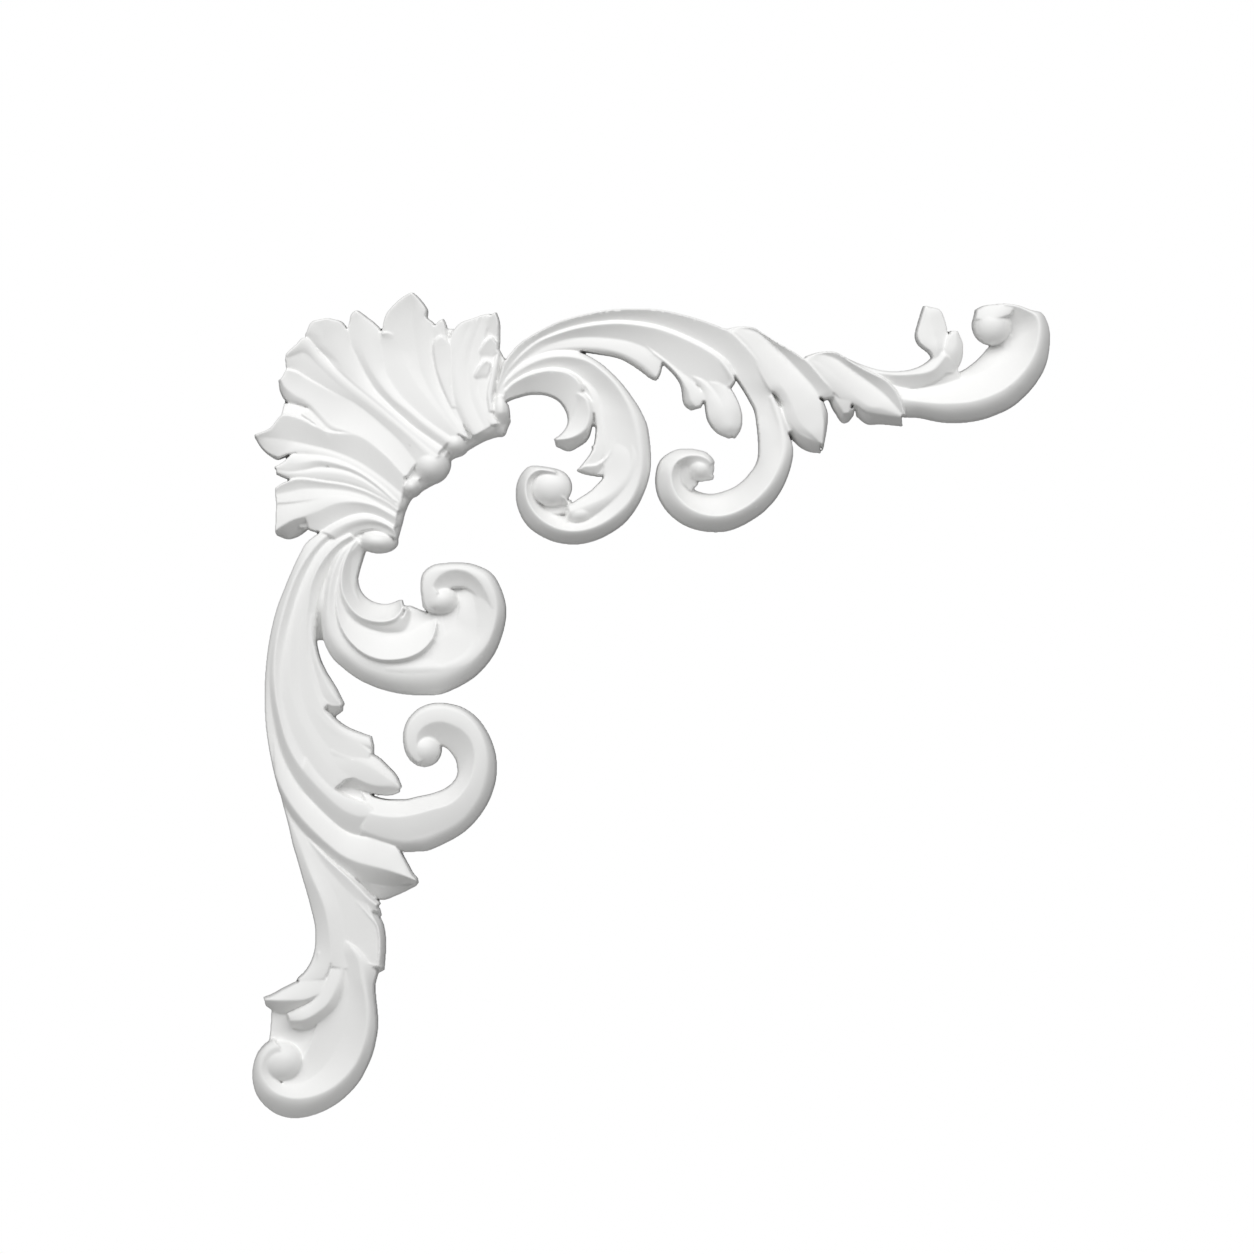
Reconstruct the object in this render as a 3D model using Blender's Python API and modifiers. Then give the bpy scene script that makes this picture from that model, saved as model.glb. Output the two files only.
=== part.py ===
"""Corner applique: a shell fan with two scrolling acanthus arms, cast in one piece with a flat back.

Upright as on the wall: X to the right, Z up, the relief towards -Y, the flat back on the plane Y = 0.
The origin lies on the back, behind the middle of the shell.
"""
import math

import bmesh
import bpy
import numpy as np
from mathutils import Matrix

# Driving sizes in metres
SPAN_ACROSS = 0.2995        # shell's left tip to the top arm's far curl
SPAN_DOWN = 0.3105          # shell's top tip to the left arm's lowest curl
RELIEF = 0.0170             # highest crest above the flat back
CUT_DEPTH = 0.004           # how far the bands run on behind the back before it is cut flat

# Working sizes
STATION = 0.0030            # spacing of the sections along a band
FUSE_CELL = 0.0010          # cell that fuses the bands into one casting
FACES_WANTED = 9200         # triangles left after thinning
CUT_MARGIN = 0.020          # how far the cutter passes the outline

# The pattern is drawn on a board measured in units, x to the right and y down, heights in their own units
BOARD_ACROSS = 798.5        # units that SPAN_ACROSS covers
BOARD_DOWN = 827.0          # units that SPAN_DOWN covers
BOARD_HEIGHT = 17.0         # height units that RELIEF covers
BOARD_CORNER = (252.0, 292.0)   # top left corner of the pattern
BOARD_ORIGIN = (372.0, 418.0)   # the point behind which the origin lies
UNIT_X = SPAN_ACROSS / BOARD_ACROSS
UNIT_Z = SPAN_DOWN / BOARD_DOWN
UNIT_H = RELIEF / BOARD_HEIGHT

PARTS_ACROSS_STRIP = 4      # faces across each strip of a band
CURVE_STEPS = 16            # steps between two points of a curve


def curve_steps(values):
    """A Catmull-Rom curve through the rows of values, CURVE_STEPS to each stretch."""
    v = np.vstack([2 * values[0] - values[1], values, 2 * values[-1] - values[-2]])
    t = np.linspace(0, 1, CURVE_STEPS, endpoint=False)[:, None]
    runs = []
    for a, b, c, d in zip(v, v[1:], v[2:], v[3:]):
        square = 2 * a - 5 * b + 4 * c - d
        cube = 3 * b - a - 3 * c + d
        runs.append(0.5 * (2 * b + (c - a) * t + square * t ** 2 + cube * t ** 3))
    return np.vstack(runs + [values[-1:]])


def even_levels(heights, count):
    """A smooth run of count heights through those given, which are evenly spaced."""
    given = np.atleast_1d(np.asarray(heights, float))
    if len(given) < 3:
        return np.linspace(given[0], given[-1], count)
    run = curve_steps(given[:, None])[:, 0]
    return np.interp(np.linspace(0, len(run) - 1, count), np.arange(len(run)), run)


def even_rail(points, heights, count):
    """Count places (x, y, height), evenly spaced, on a smooth rail through the board points.

    One height for each point goes with its point; any other number is spread evenly along the rail.
    """
    flat = np.asarray(points, float)
    joined = np.ndim(heights) == 1 and len(heights) == len(flat)
    rows = np.column_stack([flat, np.asarray(heights, float) if joined else np.zeros(len(flat))])
    run = curve_steps(rows)
    run[:, 0] *= UNIT_X
    run[:, 1] *= UNIT_Z
    walk = np.concatenate([[0], np.cumsum(np.linalg.norm(np.diff(run[:, :2], axis=0), axis=1))])
    places = np.linspace(0, walk[-1], count)
    rail = np.stack([np.interp(places, walk, run[:, axis]) for axis in range(3)], 1)
    if not joined:
        rail[:, 2] = even_levels(heights, count)
    rail[:, 2] *= UNIT_H
    return rail


def volute(pole, start, radii, way=1, step=45.0):
    """Places on a scroll round its pole, one radius every step degrees; 90 degrees is down the board."""
    angles = [math.radians(start + way * step * i) for i in range(len(radii))]
    return [(pole[0] + r * math.cos(a), pole[1] + r * math.sin(a)) for r, a in zip(radii, angles)]


class Carving:
    """Collects closed lofts and domes in one mesh; the Remesh modifier fuses them."""

    def __init__(self):
        self.mesh = bmesh.new()

    def band(self, *rails, swell=0.0):
        """A closed loft across the rails, each (points, heights); swell raises or hollows each strip."""
        swells = swell if isinstance(swell, tuple) else (swell,) * (len(rails) - 1)
        lengths = [np.linalg.norm(np.diff(points, axis=0) * (UNIT_X, UNIT_Z), axis=1).sum()
                   for points, _ in rails]
        count = max(6, round(max(lengths) / STATION))
        lines = [even_rail(points, heights, count) for points, heights in rails]
        feet = [np.column_stack([line[:, :2], np.full(count, -CUT_DEPTH)]) for line in (lines[0], lines[-1])]
        section = [feet[0], lines[0]]
        for this, other, bulge in zip(lines, lines[1:], swells):
            gap = np.linalg.norm(other[:, :2] - this[:, :2], axis=1)
            fullness = np.sqrt(gap / max(gap.max(), STATION / 100))
            for u in np.linspace(0, 1, PARTS_ACROSS_STRIP + 1)[1:]:
                spot = this * (1 - u) + other * u
                spot[:, 2] += bulge * UNIT_H * fullness * 4 * u * (1 - u)
                section.append(spot)
        section.append(feet[1])
        self.loft(np.stack(section, 1))

    def loft(self, grid):
        """Faces between the sections of grid (stations, section points, x y height), capped at both ends."""
        ox, oy = BOARD_ORIGIN[0] * UNIT_X, BOARD_ORIGIN[1] * UNIT_Z
        rings = [[self.mesh.verts.new((x - ox, -h, oy - y)) for x, y, h in ring] for ring in grid]
        faces = [self.mesh.faces.new(rings[0]), self.mesh.faces.new(rings[-1])]
        for one, two in zip(rings, rings[1:]):
            for j in range(len(one)):
                k = (j + 1) % len(one)
                faces.append(self.mesh.faces.new((one[j], one[k], two[k], two[j])))
        bmesh.ops.recalc_face_normals(self.mesh, faces=faces)

    def dome(self, centre, across, along, base, top, tilt=0.0):
        """A rounded boss: half-widths in board units, base and top heights, tilt clockwise in degrees."""
        place = Matrix.Translation(((centre[0] - BOARD_ORIGIN[0]) * UNIT_X, -base * UNIT_H,
                                    (BOARD_ORIGIN[1] - centre[1]) * UNIT_Z))
        turn = Matrix.Rotation(math.radians(tilt), 4, "Y")
        size = Matrix.Diagonal((across * UNIT_X, (top - base) * UNIT_H, along * UNIT_Z, 1))
        bmesh.ops.create_uvsphere(self.mesh, u_segments=20, v_segments=12, radius=1.0,
                                  matrix=place @ turn @ size)


# Valleys and crests of the shell, tip first
V3 = [(286, 370), (296, 372), (306, 378), (320, 386), (340, 397), (355, 404), (370, 415),
      (385, 428), (400, 443), (416, 464)]
V1 = [(306, 338), (312, 343), (322, 355), (333, 367), (350, 382), (370, 398), (390, 415),
      (410, 433), (438, 456)]
V2 = [(347, 330), (350, 345), (356, 357), (365, 374), (375, 390), (386, 402), (400, 416),
      (417, 430), (444, 448)]
FAN = (488, 510)
NOSE = [(393, 535), (396, 520), (400, 505), (405, 493), (412, 486), (421, 479), (432, 474),
        (441, 467), (445, 458), (450, 451), (461, 446), (471, 440), (481, 435), (490, 431),
        (499, 427), (503, 414)]
LIP = [(396, 538), (399.5, 524), (403, 509), (409, 497), (417, 490), (427, 484), (438, 478),
       (446, 470), (449, 460), (454, 455), (464, 449.5), (474.5, 443.5), (484.5, 438.5),
       (493.5, 434.5), (503, 431), (507, 414)]
FOOT = [(397, 540), (401, 526), (405, 511), (411, 499), (420, 492), (430, 486), (441, 480),
        (448, 471), (450, 461), (456, 457), (466, 451), (476, 445), (486, 440), (495, 437),
        (505, 434), (509, 414)]


def risen(points, heights, lift=2.6):
    """Heights of a rib's rail: the ribs rise towards the base of the fan."""
    p = np.asarray(points, float)
    h = np.asarray(heights, float)
    if h.ndim == 0 or len(h) != len(p):
        h = even_levels(heights, len(p))
    r = np.hypot(p[:, 0] - FAN[0], p[:, 1] - FAN[1])
    t = np.clip((185 - r) / 95, 0, 1)
    return h + lift * t * t * (3 - 2 * t) * 0.5 + lift * t * 0.5


def rib(carve, *rails, swell=0.0):
    """A band whose rails rise towards the base of the fan."""
    carve.band(*[(p, tuple(risen(p, h))) for p, h in rails], swell=swell)


def shell(carve):
    """The fan of ribs with its notched tips and rounded base."""
    # rounded ends of the ribs
    carve.band((FOOT, 7), (LIP, 9.6), (NOSE, 12), swell=(0.2, 0.2))
    # bed
    carve.band(
        (NOSE, 13),
        ([(300, 528), (290, 470), (300, 400), (350, 345), (420, 330), (494, 330)], 9.5),
        swell=-1)
    # rib 1 from the left tip
    rib(
        carve,
        ([(254, 435), (270, 428), (282, 415.5), (300, 418.5), (325, 431), (345, 434), (362, 438),
          (385, 455), (405, 476)],
         (12.5, 13, 13.5, 13.3, 13.0, 12.8, 12.8, 13.0, 13.2)),
        ([(256, 438), (268, 438), (285, 440), (308, 445), (335, 452), (360, 463), (385, 480),
          (403, 495)],
         (11.6, 11.4, 11.2, 10.9, 10.7, 10.7, 11, 11.6)),
        ([(255, 438), (264, 451), (278, 458), (288, 455), (297, 453), (312, 454), (335, 459),
          (360, 471), (385, 489), (402, 503)],
         (10.5, 10, 10.4, 11.3, 11.5, 11.4, 11.2, 11.2, 11.4, 12)),
        swell=(0.0, 0.3))
    rib(
        carve,
        ([(256, 438), (268, 441), (282, 449), (290, 454)], (11.6, 11.2, 11, 11.3)),
        ([(254, 437), (262, 449), (275, 459), (284, 457)], (6, 5.5, 6, 8)),
        swell=0.3)
    # rib 2 from the left tip
    rib(
        carve,
        (V3, (13, 12.6, 12.0, 11.6, 11.3, 11.2, 11.2, 11.3, 11.6, 12.2)),
        ([(281, 379), (286, 388), (296, 396), (306, 401), (318, 410), (332, 424), (350, 432),
          (368, 441), (388, 457), (408, 477)],
         (12.8, 12.7, 12.5, 12.2, 12, 12.2, 12.6, 12.8, 12.8, 13)),
        ([(278, 380), (280, 392), (287, 402), (300, 405), (309, 408), (319, 418), (330, 430),
          (345, 434), (365, 443), (402, 478)],
         (10.4, 10, 10, 10.6, 11.2, 11.6, 11.8, 11.9, 11.9, 12.2)),
        swell=(-0.2, 0.4))
    rib(
        carve,
        ([(284, 403), (298, 406), (312, 411), (325, 422), (337, 431)], (10, 10.6, 11.2, 11.6, 11.8)),
        ([(281, 416), (291, 415.5), (303, 419.5), (322, 430.5), (336, 434.5)],
         (12.2, 12.2, 12.4, 12.4, 12.2)),
        swell=0)
    rib(
        carve,
        ([(306, 412), (316, 420), (328, 431)], (11.8, 12, 12)),
        ([(302, 415), (312, 422), (325, 432)], (12.9, 12.9, 12.9)),
        swell=0)
    # rib 3 from the left tip
    rib(
        carve,
        (V3, (12, 11.6, 11.3, 11.2, 11.1, 11.1, 11.1, 11.2, 11.4, 12)),
        ([(285, 359), (294, 356), (306, 354), (321, 368), (338, 384), (353, 396), (368, 407),
          (384, 419), (402, 433), (430, 460)],
         (13.2, 12.8, 12.5, 12.2, 12, 12, 12, 12.2, 12.6, 13.4)),
        ([(286, 354), (296, 345), (305, 338), (320, 353), (333, 367), (350, 382), (370, 398),
          (390, 415), (410, 433), (440, 457)],
         (13.8, 14, 13.6, 12, 11.9, 12, 12.2, 12.4, 12.7, 13.2)),
        swell=(0.1, 0.5))
    # rib 4 from the left tip
    rib(
        carve,
        ([(323, 319), (312, 322), (307, 331), (306, 338), (322, 354), (334, 367), (350, 382),
          (370, 398), (390, 415), (410, 433), (438, 456)],
         (14.4, 14.2, 13.6, 12.4, 11, 11.7, 12, 12.2, 12.4, 12.7, 13.2)),
        ([(326, 318.5), (322, 328), (326, 342), (338, 360), (352, 378), (368, 393), (386, 408),
          (405, 424), (440, 453)],
         (14.6, 13.9, 13.1, 12.6, 12.4, 12.4, 12.5, 12.6, 13.2)),
        ([(329, 318.5), (341, 322), (347, 331), (350, 345), (356, 357), (365, 374), (375, 390),
          (386, 402), (400, 416), (417, 430), (444, 448)],
         (14.4, 13.8, 13, 12.4, 11.8, 11.4, 11.2, 11.1, 11.1, 11.3, 12)),
        swell=(0.2, 0.4))
    # rib 5 from the left tip
    rib(
        carve,
        ([(355, 311), (351, 315), (349, 323), (347, 333), (350, 345), (356, 357), (365, 374),
          (375, 390), (386, 402), (400, 416), (417, 430), (444, 448)],
         (13.6, 13.4, 12.8, 12.2, 11.8, 11.4, 11.1, 11, 11, 11, 11.3, 12)),
        ([(356.5, 310.5), (357, 322), (359, 338), (365, 356), (373, 373), (384, 389), (395, 401),
          (409, 412), (425, 426), (448, 443)],
         (14, 13.4, 12.9, 12.7, 12.7, 12.7, 12.7, 12.8, 12.9, 13.2)),
        ([(358, 311), (366, 317), (375, 324), (381, 332), (381.5, 345), (383, 358), (385, 370),
          (391, 383), (401, 397), (414, 410), (431, 424), (456, 441)],
         (13.8, 13, 12.4, 12, 11.8, 11.7, 11.6, 11.6, 11.8, 12, 12.2, 12.6)),
        swell=(0.1, 0.5))
    # rib 6 from the left tip
    rib(
        carve,
        ([(410, 293.5), (402, 298), (391, 308), (385, 317), (382, 331), (381.5, 345), (383, 358),
          (385, 370), (391, 383), (401, 397), (414, 410), (431, 424), (456, 441)],
         (15.6, 15.1, 14.5, 13.8, 12.9, 11.9, 11.7, 11.6, 11.6, 11.8, 12, 12.2, 12.6)),
        ([(411, 293), (403, 306), (396, 322), (396, 338), (401, 352), (407, 367), (416, 383),
          (427, 398), (440, 414), (458, 434)],
         (15.8, 14.5, 13.4, 12.7, 12.3, 12.3, 12.4, 12.5, 12.6, 13)),
        ([(412, 293), (413, 310), (414, 330), (417, 350), (421, 370), (428, 386), (437, 402),
          (448, 418), (462, 436)],
         (15.8, 14, 12.9, 12.3, 12.0, 12.0, 12.2, 12.5, 13)),
        ([(413, 293), (421, 301), (427, 310), (427, 318), (434, 325), (434, 340), (433, 357),
          (436, 372), (440, 386), (446, 400), (453, 413), (461, 426), (469, 440)],
         (15.6, 14.8, 14.2, 13.6, 13.1, 12.6, 12.1, 11.7, 11.5, 11.5, 11.6, 11.9, 12.4)),
        swell=(0.1, 0.0, 0.5))
    rib(
        carve,
        ([(424, 318), (430, 322), (434, 327)], (13.9, 13.6, 13.3)),
        ([(418, 322), (424, 330), (429, 338)], (12.9, 12.7, 12.5)),
        swell=0)
    rib(
        carve,
        ([(383, 334), (387, 333), (393, 335)], (13.4, 13.4, 13)),
        ([(384, 341), (389, 350), (396, 357)], (12, 11.6, 11.8)),
        swell=-0.2)
    # rib 7 from the left tip
    rib(
        carve,
        ([(442, 319.5), (437, 323), (434, 330), (434, 345), (433.5, 358), (437, 374), (441, 388),
          (447, 403), (456, 419), (469, 440)],
         (13.8, 13.6, 13.2, 12.4, 11.8, 11.5, 11.4, 11.4, 11.6, 12.4)),
        ([(443, 319), (446, 326), (447, 335), (450, 344), (449, 360), (450, 378), (452, 395),
          (457, 412), (468, 436)],
         (13.8, 13.4, 12.9, 12.2, 11.8, 11.6, 11.6, 11.6, 12.2)),
        swell=0.4)
    rib(
        carve,
        ([(440, 337), (435, 342), (434, 352), (436, 366), (440, 380), (446, 395), (452, 408)],
         (14.2, 13.8, 13.2, 12.6, 12.4, 12.2, 12)),
        ([(442, 337), (447, 341), (450, 349), (451, 365), (451, 380), (452, 395), (456, 408)],
         (14.2, 13.8, 13.2, 12.6, 12.4, 12.2, 12)),
        swell=0.3)
    # rib 8 from the left tip
    rib(
        carve,
        ([(470, 319.5), (460, 323.5), (453, 332), (449.5, 343), (449, 360), (450, 380), (453, 400),
          (459, 415), (466, 428), (473, 437)],
         (14, 13.7, 13.3, 12.8, 12, 11.6, 11.6, 11.6, 12, 12.6)),
        ([(472, 319), (467, 332), (461, 350), (458, 370), (459, 390), (463, 408), (470, 424),
          (478, 435)],
         (14.2, 13.6, 13.2, 12.9, 12.8, 12.8, 13, 13.4)),
        ([(483, 315), (480, 325), (475, 337), (471, 350), (468, 368), (469, 385), (472, 400),
          (478, 415), (486, 430)],
         (14.2, 13.8, 13.3, 12.8, 12.4, 12.2, 12.2, 12.4, 12.8)),
        ([(490, 314), (488, 325), (485, 340), (482, 352), (479, 368), (477, 385), (481, 402),
          (491, 427)],
         (14, 13.6, 13.2, 12.8, 12.6, 12.4, 12.4, 12.6)),
        swell=(0.3, 0.2, 0.2))
    # rib 9 from the left tip, with stepped leaflets
    rib(
        carve,
        ([(484, 315), (482, 330), (480, 345), (477, 360), (475, 375), (476, 392), (482, 410),
          (492, 426)],
         (13.4, 12.9, 12.6, 12.4, 12.2, 12.2, 12.4, 12.8)),
        ([(498, 318), (499.5, 335), (498.5, 350), (495, 368), (491, 385), (490, 400), (493, 415),
          (499, 425)],
         (12.6, 12.2, 12, 12.2, 12.2, 12.2, 12.4, 12.8)),
        swell=0)
    rib(
        carve,
        ([(495, 312.5), (490, 317), (486, 328), (486, 336)], (15, 14.4, 13.2, 12.2)),
        ([(496, 312.5), (499, 322), (499, 332), (496, 338)], (15, 14.2, 13.2, 12.2)),
        swell=-0.2)
    rib(
        carve,
        ([(491, 338), (485, 343), (480, 352), (482, 356)], (14.8, 14.3, 13.4, 12.6)),
        ([(492, 338), (497, 345), (497, 353), (492, 358)], (14.8, 14, 13, 12.2)),
        swell=-0.3)
    rib(
        carve,
        ([(486, 361), (480, 367), (475, 376), (477, 379)], (14.6, 14.1, 13.4, 12.6)),
        ([(487, 361), (491, 365), (489, 374), (486, 379)], (14.6, 13.8, 13, 12.2)),
        swell=-0.3)
    rib(
        carve,
        ([(499, 350), (495, 362), (491, 378), (488, 395), (490, 412)], (13, 13.2, 13.2, 13.2, 13.2)),
        ([(500, 352), (499, 365), (496, 380), (493, 397), (494, 412)],
         (12.4, 12.4, 12.4, 12.6, 12.6)),
        swell=0.2)
    carve.band(
        ([(500, 352), (499, 368), (496.5, 384), (494, 400)], 10),
        ([(506, 362), (502, 373), (499, 385), (498, 398)], 10),
        swell=0)
    # low rib 1, counted downwards
    rib(
        carve,
        ([(274, 467), (283, 462), (290, 456), (300, 454), (320, 455), (340, 460), (360, 471),
          (385, 489), (401, 504)],
         (12, 12, 11.8, 11.3, 11, 10.9, 10.9, 11.2, 11.8)),
        ([(275, 469), (290, 466), (305, 463), (320, 461), (340, 465), (357, 471), (374, 482),
          (394, 500)],
         (12.4, 12.4, 12.4, 12.4, 12.3, 12.2, 12.2, 12.4)),
        ([(276, 470), (290, 473), (305, 471), (320, 467), (340, 469), (357, 475), (373, 485),
          (396, 503)],
         (12, 12, 11.7, 11.4, 11.4, 11.4, 11.5, 12)),
        swell=(0.2, 0.1))
    rib(
        carve,
        ([(276, 470), (290, 472), (305, 470), (320, 468), (340, 470), (357, 476), (373, 486),
          (396, 504)],
         (12, 12, 11.7, 11.4, 11.4, 11.4, 11.5, 12)),
        ([(276, 471), (288, 475), (303, 476), (320, 475), (340, 477), (360, 482), (380, 493),
          (399, 507)],
         (12.2, 12.2, 12.2, 12.1, 12, 11.9, 11.9, 12.1)),
        ([(276, 474), (288, 479), (303, 482), (320, 484), (340, 486), (362, 491), (383, 501),
          (400, 511)],
         (11.4, 11.2, 11, 10.9, 10.8, 10.9, 11.2, 11.8)),
        swell=(0.3, 0.3))
    # low rib 2, counted downwards
    rib(
        carve,
        ([(275, 488), (283, 483), (292, 480), (303, 479), (325, 482), (345, 485), (365, 491),
          (385, 501), (399, 511)],
         (12.8, 13, 13, 12.8, 12.4, 12.2, 12.1, 12.1, 12.4)),
        ([(275, 495), (290, 492), (305, 489), (325, 489), (345, 491), (365, 496), (383, 506),
          (398, 514)],
         (11.8, 11.5, 11.4, 11.3, 11.3, 11.3, 11.4, 11.6)),
        ([(276, 504), (290, 503), (305, 501), (325, 498), (345, 498), (362, 502), (380, 510),
          (397, 518)],
         (12.3, 12.3, 12.3, 12.3, 12.2, 12.2, 12.2, 12.4)),
        swell=(-0.2, 0.0))
    # low rib 3, counted downwards
    rib(
        carve,
        ([(276, 504), (290, 503), (305, 501), (325, 497), (345, 497), (362, 501), (380, 509),
          (397, 517)],
         (11.8, 11.8, 12, 12.2, 12.2, 12.2, 12.2, 12.4)),
        ([(275, 532), (283, 526), (294, 520), (307, 516), (318, 511), (335, 504), (355, 502),
          (375, 505), (396, 516)],
         (12.6, 12.8, 13, 13, 13, 12.9, 12.8, 12.7, 12.8)),
        ([(276, 535), (287, 539), (298, 536), (308, 528), (318, 516), (335, 506), (355, 504),
          (375, 507), (396, 518)],
         (5, 4, 4, 7, 11, 12.6, 12.6, 12.5, 12.6)),
        swell=(0.2, 0.0))
    # low rib 4, counted downwards
    rib(
        carve,
        ([(306, 518), (318, 512), (335, 504), (355, 502), (375, 506), (397, 518)],
         (12.6, 13, 13, 12.8, 12.7, 12.8)),
        ([(309, 530), (320, 532), (335, 525), (350, 518), (365, 515), (380, 519), (396, 527)],
         (10.8, 10.6, 10.8, 10.8, 10.6, 10.8, 11.5)),
        swell=-0.1)
    # rib that runs on as the left arm
    rib(
        carve,
        ([(322, 532), (335, 524), (350, 517), (365, 514.5), (380, 518), (395, 526)],
         (11.5, 11.6, 11.4, 11.2, 11.2, 11.5)),
        ([(328, 534), (342, 525.5), (357, 520), (370, 519), (383, 523), (395, 530)],
         (13, 13.2, 13, 12.9, 12.8, 12.8)),
        ([(335, 539), (350, 529), (362, 525), (375, 524.5), (388, 528), (397, 536)],
         (12, 12, 11.8, 11.6, 11.6, 11.8)),
        ([(342, 546), (357, 534), (368, 530), (380, 531), (397, 539)],
         (10.5, 10.8, 10.8, 10.8, 11.2)),
        swell=(0.2, 0.3, -0.1))
    # left bead
    carve.dome((377.5, 541), 20, 12, 6, 15.6, 3)
    # beads of the rib ends
    carve.dome((430, 464), 21, 20, 5, 17, -43)
    carve.dome((411, 486), 12, 11, 5, 15.8, -48)
    carve.dome((455, 443), 14, 14, 5, 16.4, -30)
    carve.dome((482, 428), 20, 12, 6, 15.4, -24)
    carve.dome((398, 504), 11, 9, 6, 14.6, -62)
    carve.dome((394, 521), 10, 8, 6, 14.4, -75)
    carve.band(
        ([(495, 402), (498, 397.5), (503, 398.5), (508, 406)], (13.8, 14.8, 14.8, 13.8)),
        ([(493, 412), (498, 413), (503, 413), (509, 412)], (14, 15.8, 15.8, 13)),
        ([(491, 429), (497, 436), (504, 434), (510, 422)], (5, 4, 4, 5)),
        swell=(0.5, 1.7))


def top_main(carve):
    """The top arm's large scroll."""
    pole = (705, 468)
    # rails that neighbouring bands share
    edge = [(497, 394), (500, 378), (504, 364), (511, 353), (522, 342), (540, 331), (560, 321.5),
            (585, 314.5), (610, 310), (635, 309), (660, 310), (683, 315), (705, 321.5), (727, 331),
            (741, 343), (756, 361), (766, 380), (773, 396), (781, 412), (787, 430)]
    foot = [(498, 394), (502, 381), (508, 370), (520, 357), (533, 347), (547, 339), (563, 333),
            (586, 327.5), (610, 324.5), (632, 324.5), (651, 327.5), (671, 334), (692, 343),
            (712, 355), (727, 367), (737, 380), (748, 397), (755, 411), (758, 430)]
    carve.band(
        (edge,
         (12, 13, 14, 14.6, 15, 15.4, 15.6, 15.8, 16, 16, 16, 16, 16, 16, 15.6, 15, 14.2, 12.4,
          11.6, 11.3)),
        (foot,
         (11.8, 12.2, 12.6, 12.6, 12.4, 12.2, 12, 11.9, 11.8, 11.8, 11.8, 11.8, 11.8, 11.8, 11.7,
          11.5, 11.3, 11.3, 11.3)),
        swell=-0.2)
    outer = ([(773, 396), (781, 412), (787, 430)] + volute(pole, -10, [89.5, 81.5, 75, 69.5, 66.6,
             63, 60.3, 57.3, 54.3, 50, 45, 35, 25, 19, 16, 13.5, 12, 11], step=20))
    crest = ([(768, 398), (774, 414), (779, 431)] + volute(pole, -10, [78, 68, 60, 54.5, 50.5, 46.5,
             43, 40, 37, 34, 29, 22, 16, 12, 9.5, 8, 7, 6.5], step=20))
    floor = ([(748, 397), (755, 411), (758, 430)] + volute(pole, -10, [54, 44, 36, 30, 27, 25, 24,
             23, 22, 21], step=20) + [(687, 470), (691, 468), (695, 467), (699, 467), (702, 467.5),
             (705, 468.5), (707, 470), (708.5, 472)])
    carve.band(
        (outer,
         (11.8, 11.7, 11.6, 10.8, 9.4, 8.2, 7.4, 7, 7, 7, 7, 7, 7, 7.4, 8, 8.6, 9.2, 9.8, 10, 10,
          10)),
        (crest,
         (11.8, 12.3, 13, 14.2, 14.8, 14.8, 14.8, 14.6, 14.4, 14.2, 14, 14, 14, 14, 14.2, 14.6,
          14.8, 14.8, 14.6, 14.2, 13.6)),
        (floor,
         (11.3, 11.3, 11.3, 10, 7, 4, 2.5, 2, 2, 2.4, 3.4, 5, 6.4, 8, 10.4, 12.4, 13.2, 13.6, 13.6,
          13.4, 12.8)),
        swell=(1.5, -0.7))
    # ridge 1 and the dark band under it
    below = [(505, 384), (512, 373), (523, 361), (536, 352.5), (550, 345), (575, 338.5), (600, 338),
             (625, 341), (645, 348), (661, 358), (676, 371), (690, 381), (703, 388), (716, 391),
             (728, 387)]
    ridge = [(500, 390), (505, 378), (512, 367), (524, 354.5), (538, 343.5), (552, 337),
             (575, 329.5), (600, 325.2), (622, 324.3), (645, 327), (665, 332), (687, 341),
             (707, 351.5), (722, 363), (731, 376)]
    above = [(499, 388), (503, 378), (510, 366.5), (522, 353.5), (536, 342), (551, 335),
             (574, 327.5), (600, 323), (622, 322), (646, 324.5), (667, 329.5), (690, 339),
             (710, 349.5), (726, 361), (735, 375)]
    carve.band(
        (above,
         (11.6, 12, 12.4, 12.8, 12.8, 12.8, 12.6, 12.5, 12.4, 12.4, 12.4, 12.4, 12.4, 12.4, 12.2)),
        (ridge,
         (11.8, 12.2, 12.8, 13.2, 13.5, 13.8, 14.2, 14.4, 14.5, 14.5, 14.5, 14.4, 14.3, 14.2, 13.8)),
        (below,
         (11.6, 11.8, 12, 12, 11.8, 11.5, 11.3, 11.2, 11.2, 11.2, 11.2, 11.2, 11.2, 11.2, 11.4)),
        swell=(0.3, -0.3))
    # hook at the end of ridge 1
    carve.band(
        ([(722, 362), (731, 373), (735, 381), (731, 388)], (14.2, 13.9, 13.6, 12)),
        ([(719, 364), (726, 374), (729, 381), (727, 387)], (13.6, 13.2, 12.6, 11.6)),
        swell=0.4)
    # lobe A, its lower edge shared with ridge 2 as far as the dark hole
    carve.band(
        (below[:10] + [(661, 370), (658, 378)],
         (11.6, 11.8, 12, 12, 11.8, 11.5, 11.3, 11.2, 11.2, 11.2, 11.2, 11.2)),
        ([(503, 385), (511, 374.5), (523, 363), (537, 355), (551, 349.5), (575, 347), (600, 348.5),
          (620, 353), (638, 361), (650, 370), (655, 375), (657, 378)],
         (11.4, 11.6, 11.9, 11.9, 11.8, 11.8, 11.8, 11.8, 11.8, 11.6, 11.4, 11.2)),
        ([(501, 388), (508, 377), (520, 366), (535, 357.5), (550, 352), (575, 351), (600, 354),
          (621, 358.5), (639, 369), (648, 376), (653, 379), (656, 380)],
         (11.2, 11.4, 11.6, 11.4, 11, 10.4, 9.6, 9.6, 9.6, 9.6, 9.6, 9.6)),
        swell=(0.1, 0.5))
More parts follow.
